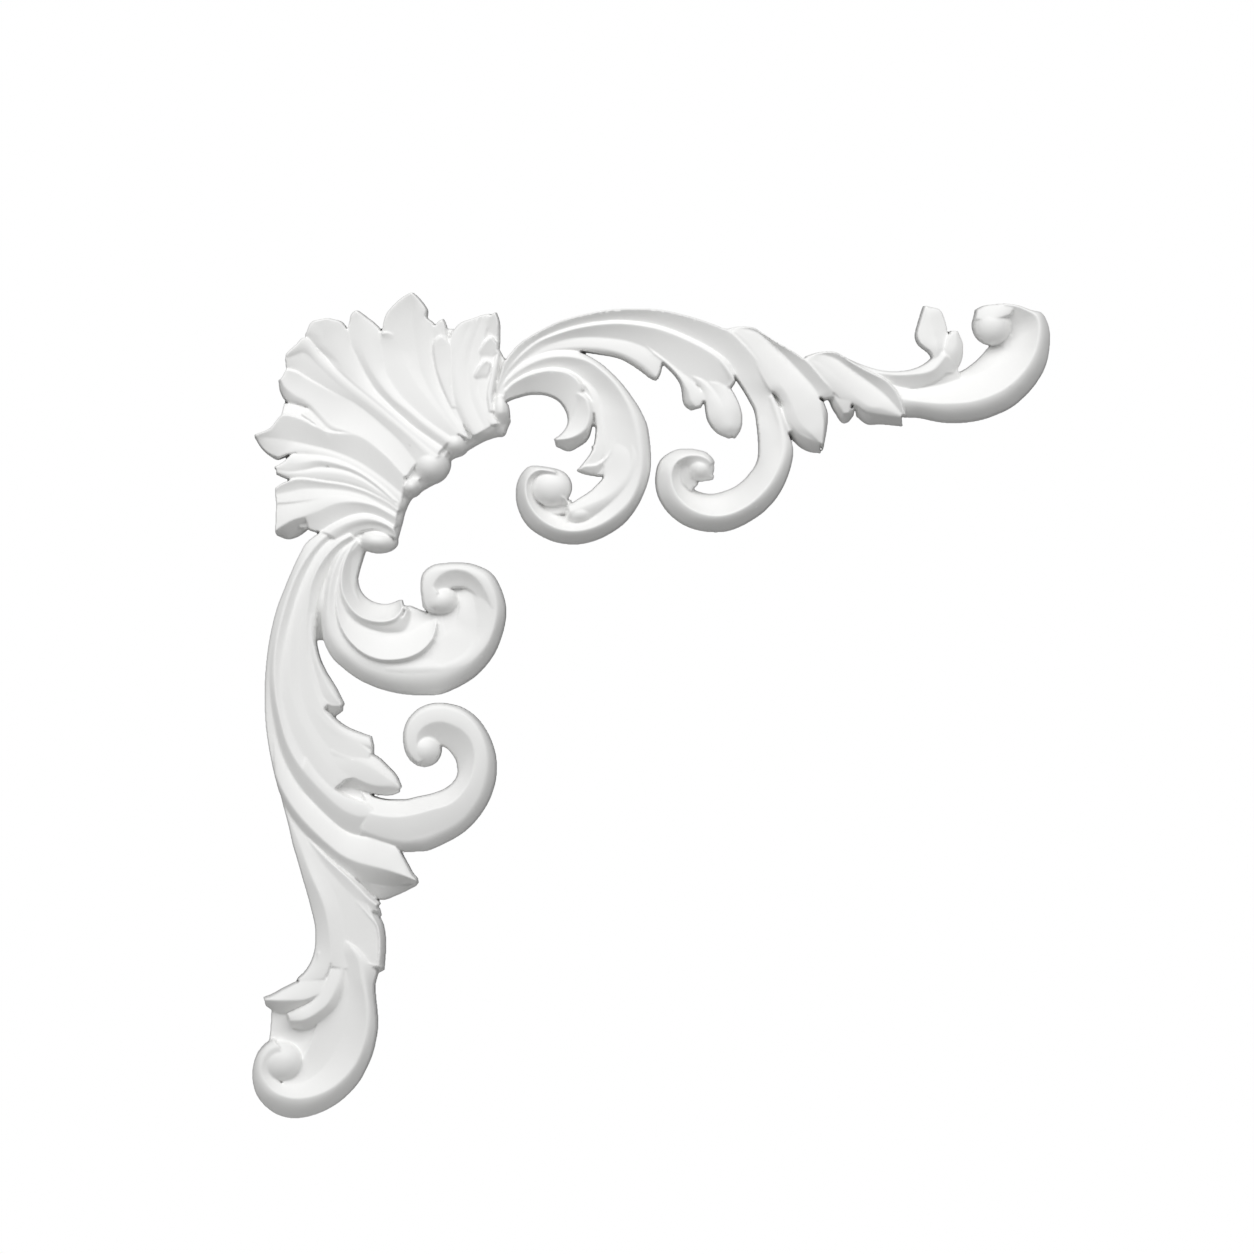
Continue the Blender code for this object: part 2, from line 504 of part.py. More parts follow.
    # lobe C1
    carve.band(
        ([(645, 346), (662, 358), (678, 370), (694, 384), (704, 397), (701, 407)],
         (11.3, 11.2, 11.2, 11.4, 11.6, 11.4)),
        ([(652, 352), (667, 364), (679, 377), (688, 391), (692, 402), (697, 408)],
         (11.8, 11.8, 11.9, 12, 12, 11.4)),
        ([(657, 359), (666, 366), (674, 374), (681, 385), (684, 403), (691, 410)],
         (9.6, 9.6, 9.4, 9, 8, 7.6)),
        swell=(0.1, 0.6))
    # lobe C2
    carve.band(
        ([(690, 376), (701, 389), (705, 404), (708, 420), (717, 432), (729, 438)],
         (11.3, 11.4, 11.6, 11.2, 10, 8.6)),
        ([(706, 382), (716, 394), (723, 407), (726, 418), (729, 428), (732, 437)],
         (11.5, 12, 12.6, 12.6, 12, 9)),
        ([(727, 385), (733, 392), (739, 404), (742, 416), (741, 428), (735, 438)],
         (11.2, 11, 10.6, 10, 9.4, 8)),
        swell=(0.6, 0.7))
    carve.band(
        ([(674, 468), (680, 480), (690, 491)], (9, 8.4, 7)),
        ([(688, 464), (693, 474), (698, 484)], (10.6, 9.6, 8)),
        swell=0)
    carve.dome((701, 468), 13, 13, 7, 14.2)
    # underside of the curled end
    carve.band(
        ([(686, 473), (690, 469.5), (695, 467), (700, 467), (704, 468), (708, 471), (714, 476)],
         (8, 10.6, 13.2, 13.6, 13.4, 12.6, 9)),
        ([(689, 486), (693, 482), (696, 479.5), (700, 479), (704, 480), (708, 480), (713, 479)],
         (7, 7.6, 8.6, 8.8, 8.8, 8.8, 9)),
        swell=0.7)


def top_inner(carve):
    """The top arm's small scroll beside the shell, with its curls."""
    # beds under the meetings of ridges and leaves
    carve.band(
        ([(494, 384), (496, 391), (498, 398)], (12, 12, 12)),
        ([(506, 380), (505, 389), (505, 398)], (12, 12, 12)),
        swell=0)
    carve.band(
        ([(574, 380), (580, 390), (586, 404)], (11.4, 11.4, 11.4)),
        ([(588, 378), (592, 388), (598, 402)], (11.4, 11.4, 11.4)),
        swell=0)
    carve.band(
        ([(592, 446), (594, 460), (596, 476)], (11.6, 11.4, 10.6)),
        ([(612, 446), (612, 460), (610, 476)], (12, 12, 11.4)),
        swell=0)
    carve.dome((581, 513.5), 15, 9.5, 8, 13.8, -12)
    pole = (560, 484)
    outer = ([(501, 388), (508, 377), (520, 366), (535, 357.5), (550, 352), (566, 350.8),
             (580, 352.5), (591, 357.5), (601, 364), (611, 372.5), (621, 383), (631, 396),
             (641, 412), (648, 431)] + volute(pole, -10, [91.5, 82.3, 75.3, 68.3, 63.3, 58.7, 55,
             52.3, 48.4, 44.8, 41, 35, 22, 16], step=20))
    crest = ([(502, 390), (510, 380), (523, 370), (537, 362.5), (551, 358.5), (566, 357.5),
             (580, 359.5), (592, 364.5), (603, 373), (613, 383), (621, 394), (628, 407), (633, 421),
             (637, 438)] + volute(pole, -10, [81, 73, 63, 55.5, 49.7, 45, 41, 38.3, 36.2, 34.5, 32,
             26, 17, 12], step=20))
    floor = ([(503, 393), (514, 386), (527, 378), (541, 373), (553, 371), (565, 372), (576, 377),
             (586, 384), (594, 392), (598, 402), (600, 412), (602, 424), (603, 436), (604, 448)] +
             volute(pole, -10, [44, 40, 36, 32, 28, 25, 23, 22, 21, 20, 18, 15, 10, 7], step=20))
    carve.band(
        (outer,
         (11.2, 11.4, 11.6, 11.4, 11, 10.4, 10, 10, 10.4, 10.8, 11, 11, 11, 10.8, 10.6, 9.8, 8.6,
          7.6, 7, 7, 7, 7, 7, 7.4, 8, 9, 10, 10)),
        (crest,
         (11.6, 12.6, 13.4, 13.9, 14.2, 14.4, 14.6, 14.7, 14.8, 14.8, 14.8, 14.8, 14.8, 14.8, 14.8,
          14.8, 14.6, 14.4, 14.2, 14, 14, 14, 14, 14, 14, 14.4, 14.6, 14.4)),
        (floor,
         (11.4, 11.6, 11.6, 11.6, 11.6, 11.5, 11.4, 11.3, 11.2, 11.2, 11.4, 11.6, 11.8, 12, 12, 10,
          6, 3.4, 2, 2, 2.4, 3.4, 4.6, 6, 8, 11, 13, 13)),
        swell=(1.3, -0.5))
    # flute's left side and the leaf tip
    carve.band(
        ([(572, 378), (580, 386), (584, 396), (588, 410), (592, 425)], 9),
        ([(590, 376), (600, 388), (604, 400), (604, 412), (600, 428)], 9),
        swell=0)
    carve.band(
        ([(580, 376), (590, 385), (597, 396), (600, 410), (603, 430), (604, 450), (598, 468)],
         (11.6, 11.6, 11.6, 11.7, 12, 12.2, 12)),
        ([(578, 378), (586, 388), (591, 398), (594, 412), (596, 430), (592, 451), (578, 470)],
         (11.8, 12.2, 12.4, 12.2, 11.6, 12.2, 12.4)),
        swell=-0.1)
    carve.band(
        ([(577, 470), (585, 466.5), (596, 465), (604, 460), (610, 453), (614, 440)],
         (12.4, 12.8, 13, 12.8, 12.6, 12.4)),
        ([(578, 471), (586, 474), (597, 475), (602, 469), (608, 461), (613, 453)],
         (11.4, 10.6, 10.4, 11, 11.6, 12)),
        swell=0.2)
    # rounded lobe over the rim
    carve.band(
        ([(604, 426), (612, 452), (606, 474), (592, 490), (577, 500), (567, 507)],
         (10.6, 12.4, 12.2, 12, 11.8, 11.6)),
        ([(618, 426), (630, 452), (626, 474), (612, 493), (592, 504), (569, 512)],
         (11.4, 13.6, 14, 14, 13.8, 13)),
        ([(630, 426), (639, 455), (638, 478), (624, 499), (602, 514), (581, 522), (568, 519)],
         (12.4, 13.8, 12.8, 11.6, 11, 10.8, 10.8)),
        swell=(0.1, 0.8))
    # small curl
    carve.band(
        ([(501, 394), (511, 383.5), (526, 375), (541, 371), (553, 369), (567, 371), (577, 376),
          (583, 384), (585, 391)],
         (10.5, 11, 11.6, 11.6, 11.6, 11.5, 11.5, 11.4, 11.4)),
        ([(502, 396), (512, 385), (527, 376.5), (541, 372), (552, 371), (565, 373), (574, 378),
          (580, 385), (582, 391)],
         (11.8, 13, 14.2, 14.6, 14.8, 14.8, 14.6, 14.4, 13.6)),
        ([(505, 402), (515, 398), (528, 394.5), (540, 394), (551, 396.5), (560, 402), (566, 411),
          (568, 420), (567, 428)],
         (10, 9.8, 9.8, 9.9, 10, 10.2, 10.4, 10.8, 11)),
        swell=(0.3, -0.2))
    carve.band(
        ([(579, 392), (587, 396.5), (592, 405), (593, 417), (589, 430), (580, 438), (568, 441.5),
          (555, 441)],
         (12.6, 12.6, 12.4, 12, 11.6, 11.2, 11, 10.4)),
        ([(578, 394), (585, 399), (588.5, 407), (589.5, 417), (586, 428), (578, 435), (567, 439),
          (555, 440)],
         (13.8, 14.2, 14.2, 14, 13.8, 13.4, 12.8, 11.4)),
        ([(562, 404), (566, 409), (568, 415), (568, 422), (566, 428), (563, 432), (559, 436),
          (554, 439)],
         (10.3, 10.4, 10.8, 11, 11, 10.8, 10.6, 10.4)),
        swell=(0.3, -0.1))
    carve.band(
        ([(592, 408), (592, 420), (588, 430), (579, 437), (568, 440), (555, 440)],
         (12.4, 12, 11.8, 11.8, 11.6, 11)),
        ([(592, 414), (591, 430), (587, 440), (578, 447), (568, 451), (556, 446)],
         (7, 5, 4, 3, 3, 5)),
        swell=1.6)
    # bed under the eye's lower edge
    carve.band(
        ([(544, 499), (556, 499), (571, 500)], (7.6, 7.8, 8)),
        ([(544, 514), (556, 514), (571, 513)], (7.4, 7.6, 8)),
        swell=0)
    # eye
    carve.dome((551, 487), 20.5, 18.5, 8.5, 14.7)
    carve.band(
        ([(548, 499), (553, 495), (559, 495.5), (565, 498), (569, 503)], (9, 12, 13, 12.6, 9)),
        ([(549, 506), (554, 505), (560, 504.5), (565, 505), (569, 506)], (7.4, 8, 8.4, 8.4, 8)),
        swell=0.6)


def top_leaves(carve):
    """The leaves along the top arm."""
    # beds under the meetings of leaves and scroll
    carve.band(
        ([(722, 328.5), (730, 329), (740, 328)], (15, 15, 15)),
        ([(724, 335), (732, 340), (742, 344)], (15.2, 15.2, 15)),
        swell=0)
    carve.band(
        ([(766, 386), (772, 400), (782, 411)], (9, 7.6, 9.4)),
        ([(778, 384), (784, 396), (790, 408)], (9.6, 8.6, 9.6)),
        swell=0)
    carve.band(
        ([(779, 410), (784, 420), (787, 434)], (11, 11.5, 11.2)),
        ([(785, 404), (790, 416), (794, 430)], (10.8, 11.6, 10.8)),
        swell=0)
    carve.band(
        ([(688, 376), (691, 386), (693, 396)], (10.4, 10.2, 10)),
        ([(702, 376), (703, 386), (704, 396)], (10.4, 10.2, 10)),
        swell=0)
    # leaf B: raised right edge, fold, broad surface
    fold = [(742, 329), (757, 333), (771, 342), (783, 354), (794, 366), (804, 377), (812, 386),
            (819, 397), (822, 412), (824, 430), (823, 447)]
    carve.band(
        ([(726, 329.5), (738, 327), (752, 327.5), (762, 333), (775, 341.5), (790, 350), (802, 358),
          (813, 369), (822, 380), (831, 390), (833, 397)],
         (15.4, 15.4, 15.6, 16, 16, 16, 16, 15.8, 15.4, 14.4, 13)),
        (fold[:8] + [(821, 398), (823, 399), (825, 400)],
         (14.8, 14, 13, 12.6, 12.4, 12.3, 12.2, 12.2, 12, 12, 11.8)),
        swell=-0.1)
    carve.band(
        (fold, (14.8, 14, 13, 12.6, 12.4, 12.3, 12.2, 12.2, 12.2, 12, 11)),
        ([(735, 331), (747, 340), (757, 352), (767, 366), (776, 380), (785, 392), (790, 402),
          (795, 413), (801, 424), (811, 434), (820, 443)],
         (15.2, 15, 14.8, 14.6, 14.4, 14.2, 14, 13.8, 13.4, 12.9, 11.6)),
        ([(732, 333), (741, 342), (750, 355), (757, 368), (763, 380), (769, 390), (777, 396),
          (783, 406), (787, 420), (797, 432), (819, 444)],
         (15.3, 15, 14.8, 14.6, 14.4, 14, 12.6, 12, 12.2, 11.8, 10.6)),
        swell=(0.2, 0.2))
    carve.band(
        ([(783, 404), (787, 419), (796, 431), (808, 438), (820, 443)], (12.4, 12.2, 12, 11.8, 11)),
        ([(784, 414), (787, 428), (796, 443), (808, 451), (821, 453)], (9, 5, 3, 3, 4)),
        swell=1.0)
    carve.band(
        ([(820, 400), (823, 412), (824, 428), (822, 445)], (12, 11.8, 11.8, 11)),
        ([(824, 402), (828, 414), (827, 430), (823, 451)], (8, 6, 4, 4)),
        swell=1.0)
    # bed under the pit and the roots
    carve.band(
        ([(728, 332), (745, 350), (762, 384), (768, 400), (782, 428)], (14, 12, 8, 7, 8)),
        ([(745, 331), (775, 355), (798, 385), (806, 405), (812, 425)], (13, 11, 8, 7, 8)),
        swell=0)
    carve.band(
        ([(806, 358.5), (815, 372), (826, 395), (835, 408)], (10, 7, 5, 5)),
        ([(820, 355), (838, 366), (856, 392), (862, 410)], (10, 7, 5, 5)),
        swell=0)
    carve.band(
        ([(803, 359), (810, 356), (818, 354)], (15, 15, 14.6)),
        ([(805, 363), (812, 365), (821, 361)], (14.6, 14.8, 14.4)),
        swell=0)
    # leaf D
    fold = [(818, 353), (832, 358), (846, 366), (859, 375), (871, 384), (882, 393), (892, 403),
            (903, 416)]
    carve.band(
        ([(806, 356.5), (820, 352.5), (836, 352.5), (850, 362), (866, 371), (884, 380), (896, 392),
          (906, 417)],
         (15.6, 15.6, 15.6, 15.6, 15.6, 15.4, 14.8, 12.6)),
        (fold, (15, 13.8, 12.9, 12.4, 12.2, 12.1, 12, 11.6)),
        swell=-0.1)
    carve.band(
        (fold, (15, 13.8, 12.9, 12.4, 12.2, 12.1, 12, 11.6)),
        ([(808, 359), (822, 366), (835, 376), (847, 388), (859, 400), (870, 407), (883, 409),
          (902, 417)],
         (15.4, 15, 14.4, 13.8, 13.4, 13.2, 12.8, 11.6)),
        ([(806, 362), (816, 373), (826, 385), (839, 398), (855, 406), (867, 413), (882, 416),
          (902, 419)],
         (15.2, 15, 14.6, 13.2, 12.2, 11.6, 11.2, 10.6)),
        swell=(0.2, 0.3))
    carve.band(
        ([(820, 376), (832, 384), (843, 393), (851, 402), (849, 414)],
         (13.6, 13.4, 13.2, 12.8, 11.4)),
        ([(814, 370), (823, 380), (831, 391), (837, 403), (844, 414)], (13.4, 13, 12.8, 12.4, 11.4)),
        ([(812, 370), (820, 382), (827, 394), (834, 410), (843, 421)], (12, 10, 8, 6, 4)),
        swell=(0.2, 0.8))
    carve.band(
        ([(836, 403), (842, 410), (848, 412), (855, 405)], (11.8, 11.4, 11.2, 11)),
        ([(836, 413), (842, 422), (848, 422), (854, 415)], (5, 4, 4, 5)),
        swell=0.8)
    carve.band(
        ([(856, 405), (867, 412), (880, 414), (902, 418)], (11.4, 11.2, 11.2, 10.8)),
        ([(857, 416), (868, 424), (882, 424), (903, 426)], (5, 4, 4, 4)),
        swell=0.8)
    # stem E, leaf F
    carve.band(
        ([(836, 353), (860, 364), (885, 371), (910, 370), (928, 362), (938, 350)],
         (13.6, 12.8, 12, 11.4, 11.4, 11)),
        ([(838, 356), (860, 369), (886, 375), (912, 375), (932, 371), (946, 356)],
         (13.8, 13.6, 13.4, 13.4, 13.4, 13)),
        ([(842, 360), (864, 377), (890, 386), (915, 388), (937, 381), (955, 364)],
         (12, 11, 10.4, 10.2, 10.2, 10.2)),
        swell=(0.3, 0))
    carve.band(
        ([(936, 372), (931, 355), (919, 344), (916, 335), (919, 322), (924, 306)],
         (11, 12.4, 12.2, 11.8, 11.6, 11.8)),
        ([(942, 372), (938, 352), (934, 338), (931, 326), (929, 314), (927, 306)],
         (10, 12.8, 12.8, 12.6, 12.4, 11.8)),
        ([(953, 370), (949, 352), (948, 334), (945, 320), (940, 310), (930, 307)],
         (8, 10.8, 10.8, 11, 11.4, 11.4)),
        swell=(0.3, -0.1))
    carve.band(
        ([(946, 374), (944, 355), (947, 340), (951, 331)], (10, 12.2, 12.2, 11.6)),
        ([(952, 373), (952, 355), (954, 342), (955, 331)], (9, 12, 12, 11.6)),
        ([(956, 371), (962, 360), (963.5, 345), (958, 331)], (6, 8, 9, 10)),
        swell=(0.1, 0.7))
    carve.band(
        ([(926, 374), (944, 370), (958, 366)], (9.6, 9.4, 8)),
        ([(922, 388), (940, 386), (960, 380)], (9.4, 8.6, 7.2)),
        swell=0)
    carve.band(
        ([(883, 383), (900, 386), (920, 388), (938, 384)], (10.2, 9.8, 9.4, 8.6)),
        ([(880, 395), (898, 398), (920, 400), (942, 401)], (10, 10, 10, 10)),
        swell=0)


def top_tail(carve):
    """The far curl of the top arm."""
    outer = [(893, 412), (907, 416.5), (920, 417.5), (940, 421.5), (955, 422.5), (970, 421.5),
             (985, 418.5), (1000, 413), (1012, 407), (1022, 399), (1031, 390), (1038, 381),
             (1044, 371), (1048, 360), (1050, 348), (1050.5, 335), (1048, 323), (1042, 313),
             (1031, 310), (1018, 305.5), (1004, 303.5)]
    crest = [(892, 396), (905, 400), (920, 402), (938, 403.5), (953, 403.5), (967, 402.5),
             (982, 399), (996, 393.5), (1007, 387), (1016, 379.5), (1024, 370.5), (1030, 361),
             (1034.5, 351), (1037, 341), (1038, 333), (1038, 326), (1036.5, 320), (1033, 315),
             (1026, 311), (1016, 307), (1004, 305)]
    inner = [(886, 384), (902, 388), (918, 391), (934, 389.5), (948, 386), (960, 382), (972, 377),
             (983, 371), (992, 365), (999, 359), (1004, 353), (1008, 347), (1011, 341),
             (1012.5, 336), (1013, 331), (1012, 327), (1010, 323), (1007, 319), (1004, 316),
             (1001, 314), (998, 312)]
    carve.band(
        (outer, (7, 7, 7, 7, 7, 7, 7, 7, 7, 7, 7, 7, 7.2, 7.6, 8, 8.6, 9.2, 9.8, 10.4, 11.2, 12)),
        (crest,
         (12.4, 12.8, 13.2, 13.6, 13.8, 14, 14, 14, 14, 14, 14, 14, 14, 14, 14, 14, 14, 14, 13.8,
          13.6, 13.4)),
        (inner,
         (11, 10.4, 10, 9.6, 9, 8.4, 8, 7.6, 7.4, 7.2, 7, 7, 7, 7.4, 8, 8.6, 9.4, 10, 10.6, 11.4,
          12)),
        swell=(1.5, -0.4))
    carve.band(
        (inner[2:14], (10, 9.6, 9, 8.4, 8, 7.6, 7.4, 7.2, 7, 7, 7, 7.4)),
        ([(915, 386), (930, 384), (944, 379), (956, 374), (967, 368), (976, 361), (983, 354),
          (988, 348), (993, 344), (998, 341), (1003, 338), (1008, 335)],
         (9.6, 8, 6, 4, 3, 2, 2, 2, 3, 5, 6, 7)),
        swell=0.2)
    carve.band(
        ([(998, 311), (1008, 319), (1014, 330), (1012, 344)], (11.6, 9.6, 8, 7)),
        ([(988, 316), (996, 326), (1000, 336), (1000, 348)], (11.6, 9.6, 6, 4)),
        swell=0)
    carve.band(
        ([(976, 311), (984, 306.5), (994, 305.8), (1004, 304), (1014, 306)],
         (12.4, 12.6, 12.8, 13.2, 13.4)),
        ([(974.5, 322), (982, 321), (992, 321), (1002, 320), (1010, 316)],
         (13, 13.4, 13.6, 13.6, 12.6)),
        ([(974, 331), (981, 334), (991, 335), (1000, 332), (1008, 325)], (12, 12.4, 12.6, 12.4, 11)),
        ([(976, 338), (983, 344.5), (992, 347), (1001, 343), (1009, 333)], (7, 5, 4, 5, 7)),
        swell=(0.3, 0.2, 1.2))


def left_main(carve):
    """The left arm's ridged stem and its three side lobes."""
    edge = [(322, 531), (307, 542), (299, 555), (291, 572), (284, 589), (277, 607), (271.5, 628),
            (267.5, 650), (265, 675), (264.5, 700), (265.5, 725), (269, 750), (274, 774),
            (279, 792)]
    foot = [(329, 530), (315, 542), (304, 557), (295, 574), (287.5, 592), (281, 611), (276, 632),
            (272.5, 653), (270.5, 677), (271, 700), (274, 722), (279, 745), (286, 765), (298, 786),
            (311, 801), (321, 812), (334, 824), (346, 832), (357, 836), (368, 834), (378, 823)]
    ridge_a = [(335, 530), (320, 543), (308, 558), (298, 575), (290, 595), (284, 615), (279, 635),
               (276, 655), (275.5, 678), (277, 698), (281, 718), (286, 737), (294, 755), (304, 770),
               (316, 784), (329, 797), (342, 808), (354, 814), (364, 816), (373, 812), (377, 810)]
    valley = [(345, 530), (330, 540), (318, 552), (308, 570), (300, 590), (293, 612), (286, 640),
              (282, 665), (282, 690), (285, 709), (291, 728), (299, 746), (309, 762), (321, 777),
              (334, 790)]
    ridge_c = [(347, 532), (333, 541), (321, 553), (311, 570), (303, 588), (297, 608), (291.5, 640),
               (290, 668), (291.5, 690), (296, 707), (302, 723), (310, 739), (320, 754), (332, 768),
               (345, 780)]
    dip = [(350, 534), (337, 542), (325, 554), (315, 570), (308, 586), (303, 606), (299, 640),
           (299, 670), (302, 692), (307, 710), (315, 727), (325, 742), (336, 755), (348, 766),
           (360, 775)]
    ridge_b = [(352, 536), (340, 543), (328, 555), (318, 570), (312, 585), (309, 603), (307, 625),
               (307, 650), (311, 672), (316, 692), (324, 710), (336, 724), (349, 736), (362, 745),
               (372, 752)]
    side = [(357, 540), (345, 549), (333, 561), (325, 576), (320, 592), (317.5, 607), (316, 622),
            (315.5, 640), (318, 655), (321, 672), (325, 690), (329, 702)]
    carve.band(
        (edge, (11, 11, 11, 11, 11, 11, 11, 11, 11, 11, 11, 11, 11, 11)),
        (foot[:14], (12, 12.4, 12.7, 12.9, 13, 13, 13, 12.8, 12.4, 11.8, 11.4, 11.2, 11.2, 11.2)),
        swell=0.3)
    carve.band(
        (foot,
         (12, 12.4, 12.7, 12.9, 13, 13, 13, 12.8, 12.4, 11.6, 11, 10.7, 10.5, 10.3, 10.1, 10, 9.8,
          9.6, 9.4, 9, 9)),
        (ridge_a,
         (12.6, 13, 13.4, 13.6, 13.8, 13.9, 13.9, 13.9, 13.9, 14, 14.2, 14.3, 14.3, 14.2, 14.1, 14,
          13.8, 13.6, 13.2, 12.8, 12)),
        swell=0.3)
    carve.band(
        (ridge_a[:16],
         (12.6, 13, 13.4, 13.6, 13.8, 13.9, 13.9, 13.9, 13.9, 14, 14.2, 14.3, 14.3, 14.2, 14.1, 14)),
        (valley,
         (11.2, 11.4, 11.6, 11.7, 11.9, 12.2, 12.6, 12.9, 13.1, 13.2, 13.3, 13.3, 13.3, 13.3, 13.3)),
        (ridge_c,
         (12, 12.2, 12.3, 12.4, 12.5, 12.8, 13.3, 13.6, 13.7, 13.7, 13.7, 13.6, 13.5, 13.4, 13.2)),
        (dip, (12.9, 13, 13, 13, 13, 12.9, 12.8, 12.8, 12.9, 13, 13, 13, 13, 13, 12.9)),
        (ridge_b,
         (13.6, 13.7, 13.8, 13.8, 13.8, 13.6, 13.4, 13.2, 13.1, 13.1, 13.1, 13, 12.9, 12.7, 12.2)),
        swell=(-0.1, 0.1, 0.0, 0.1))
    carve.band(
        (ridge_b[:11], (13.6, 13.7, 13.8, 13.8, 13.8, 13.6, 13.4, 13.2, 13.1, 13.1, 13)),
        (side, (11, 11, 11.1, 11.3, 11.5, 11.8, 12, 12, 12, 12, 12, 12)),
        swell=-0.1)
    # lobe 1
    carve.band(
        ([(305, 600), (308, 630), (312, 655), (318, 675), (323, 692), (331, 705)],
         (12.8, 12.8, 12.7, 12.6, 12.4, 12.2)),
        ([(311, 612), (313, 640), (319, 665), (328, 685), (336, 698), (342, 706)],
         (12.8, 13.1, 13.1, 12.9, 12.7, 12)),
        ([(316, 620), (315.5, 640), (319, 657), (325, 671), (336, 689), (343.5, 704)],
         (11.4, 10.6, 10.6, 10.6, 10.6, 10.4)),
        swell=(0.1, 0.4))
    carve.band(
        ([(318, 688), (324, 699), (332, 705), (342, 706)], (12.6, 12.5, 12.4, 12)),
        ([(320, 703), (325, 711), (332, 717), (342, 711)], (7, 5, 5, 6)),
        swell=0.6)
    # lobe 2
    carve.band(
        ([(310, 690), (322, 706), (334, 718), (346, 727), (360, 733), (371, 737)],
         (12.6, 12.2, 11.8, 11.6, 11.4, 11.2)),
        ([(312, 700), (323, 716), (336, 728), (349, 737), (362, 743), (373, 746)],
         (13, 13.1, 13.1, 12.9, 12.6, 12)),
        ([(318, 720), (330, 733), (343, 744), (355, 751), (365, 755), (373, 757)],
         (13, 12.9, 12.7, 12.4, 11, 9)),
        swell=(0.3, 0.2))
    # lobe 3
    carve.band(
        ([(330, 746), (350, 751), (364, 753), (376, 756.5), (387, 766), (396, 776), (401, 787)],
         (12.8, 12.2, 11.8, 11.2, 11, 11, 10.8)),
        ([(332, 755), (350, 760), (363, 764), (374, 769), (384, 776), (393, 782), (400, 788)],
         (13, 13.2, 13.2, 13.1, 12.9, 12.5, 11.4)),
        ([(328, 766), (343, 773), (356, 778), (367, 783), (379, 785.5), (390, 786), (399, 789)],
         (13.2, 13.1, 13, 12.8, 12.6, 12.4, 11)),
        swell=(0.3, 0.1))
    carve.band(
        ([(322, 762), (335, 770), (347, 774), (358, 778), (368, 783), (379, 785.5), (390, 786),
          (399, 789)],
         (13.3, 13.2, 13.1, 13, 12.8, 12.6, 12.4, 11)),
        ([(322, 767), (333, 779), (343, 786), (354, 789), (366, 792.5), (380, 795), (391, 795),
          (399, 792)],
         (13, 11, 8.6, 8, 8, 8, 8, 8.6)),
        swell=0.5)
    # lobe I
    carve.band(
        ([(306, 756), (318, 773), (334, 788), (350, 797), (366, 803), (377, 810)],
         (13.4, 13.3, 13.2, 13, 12.6, 12)),
        ([(304, 770), (316, 784), (329, 797), (342, 808), (354, 814), (364, 816), (373, 812),
          (377, 810)],
         (14.2, 14.1, 14, 13.8, 13.6, 13.2, 12.8, 12)),
        swell=0.2)
    # bed between the arm and the inner scroll
    carve.band(
        ([(348, 532), (330, 556), (318, 580), (313, 605), (312, 622), (312, 640)],
         (11, 10.6, 10.6, 10.6, 8, 4)),
        ([(366, 538), (352, 560), (338, 580), (330, 605), (328, 622), (328, 640)],
         (11, 10.6, 10.6, 10.6, 8, 4)),
        swell=0)
    # bed under the lobes
    carve.band(
        ([(300, 700), (318, 745), (335, 790), (360, 820)], 9),
        ([(320, 712), (345, 745), (365, 785), (385, 815)], 8.4),
        swell=0)


def left_second(carve):
    """The left arm's lower scroll."""
    pole = (432, 748)
    outer = ([(360, 838), (382, 846), (402, 851.5), (417, 851.5)] + volute(pole, 90, [101, 90, 80.3,
             72, 64.6, 58.3, 54, 50.5, 46.6, 44, 41, 37.2, 33, 29.2, 27, 25, 23.2], way=-1,
             step=20))
    rim = ([(362, 826), (382, 835), (402, 838), (417, 836)] + volute(pole, 90, [84, 76.5, 68, 60.5,
           55.5, 51.5, 48.5, 45.5, 42, 39, 36, 32.5, 28.5, 25, 22.5, 20.5, 19], way=-1, step=20))
    arc = ([(370, 813), (386, 816), (403, 816), (418, 813)] + volute(pole, 90, [61, 58, 52.5, 47.5,
           43.8, 40.3, 35.8, 31.2, 28.4, 25.5, 23, 20.5, 17.5, 15, 13, 12, 11], way=-1, step=20))
    floor = ([(362, 792), (382, 799), (403, 800), (418, 797)] + volute(pole, 90, [46, 43, 38, 28,
             18, 11, 7, 6, 6, 6, 6, 6, 6, 5, 4, 4, 4], way=-1, step=20))
    carve.band(
        (outer, (8, 7, 7, 7, 7, 7, 7, 7.4, 8.4, 9.4, 10, 10.6, 11, 11, 11, 11, 10.6, 10, 9, 8, 7)),
        (rim,
         (12.2, 12.3, 12.4, 12.4, 12.5, 12.7, 13, 13.3, 13.6, 13.8, 13.9, 14, 14, 14, 14, 14, 14,
          14, 13.8, 13.4, 13)),
        (arc,
         (13.2, 13.7, 13.8, 13.9, 14, 14.1, 14.2, 14.2, 14.2, 14.3, 14.4, 14.5, 14.5, 14.5, 14.5,
          14.5, 14.4, 14.2, 14, 13.8, 13.6)),
        (floor,
         (10, 9, 8, 7.6, 7.4, 7.6, 8, 8.4, 8.8, 9, 9.4, 9.8, 10, 10, 10.4, 11, 12, 12, 12, 12, 12)),
        swell=(1.3, 0.2, -0.3))
    carve.dome((424, 749.5), 17, 17.3, 7, 14.6)


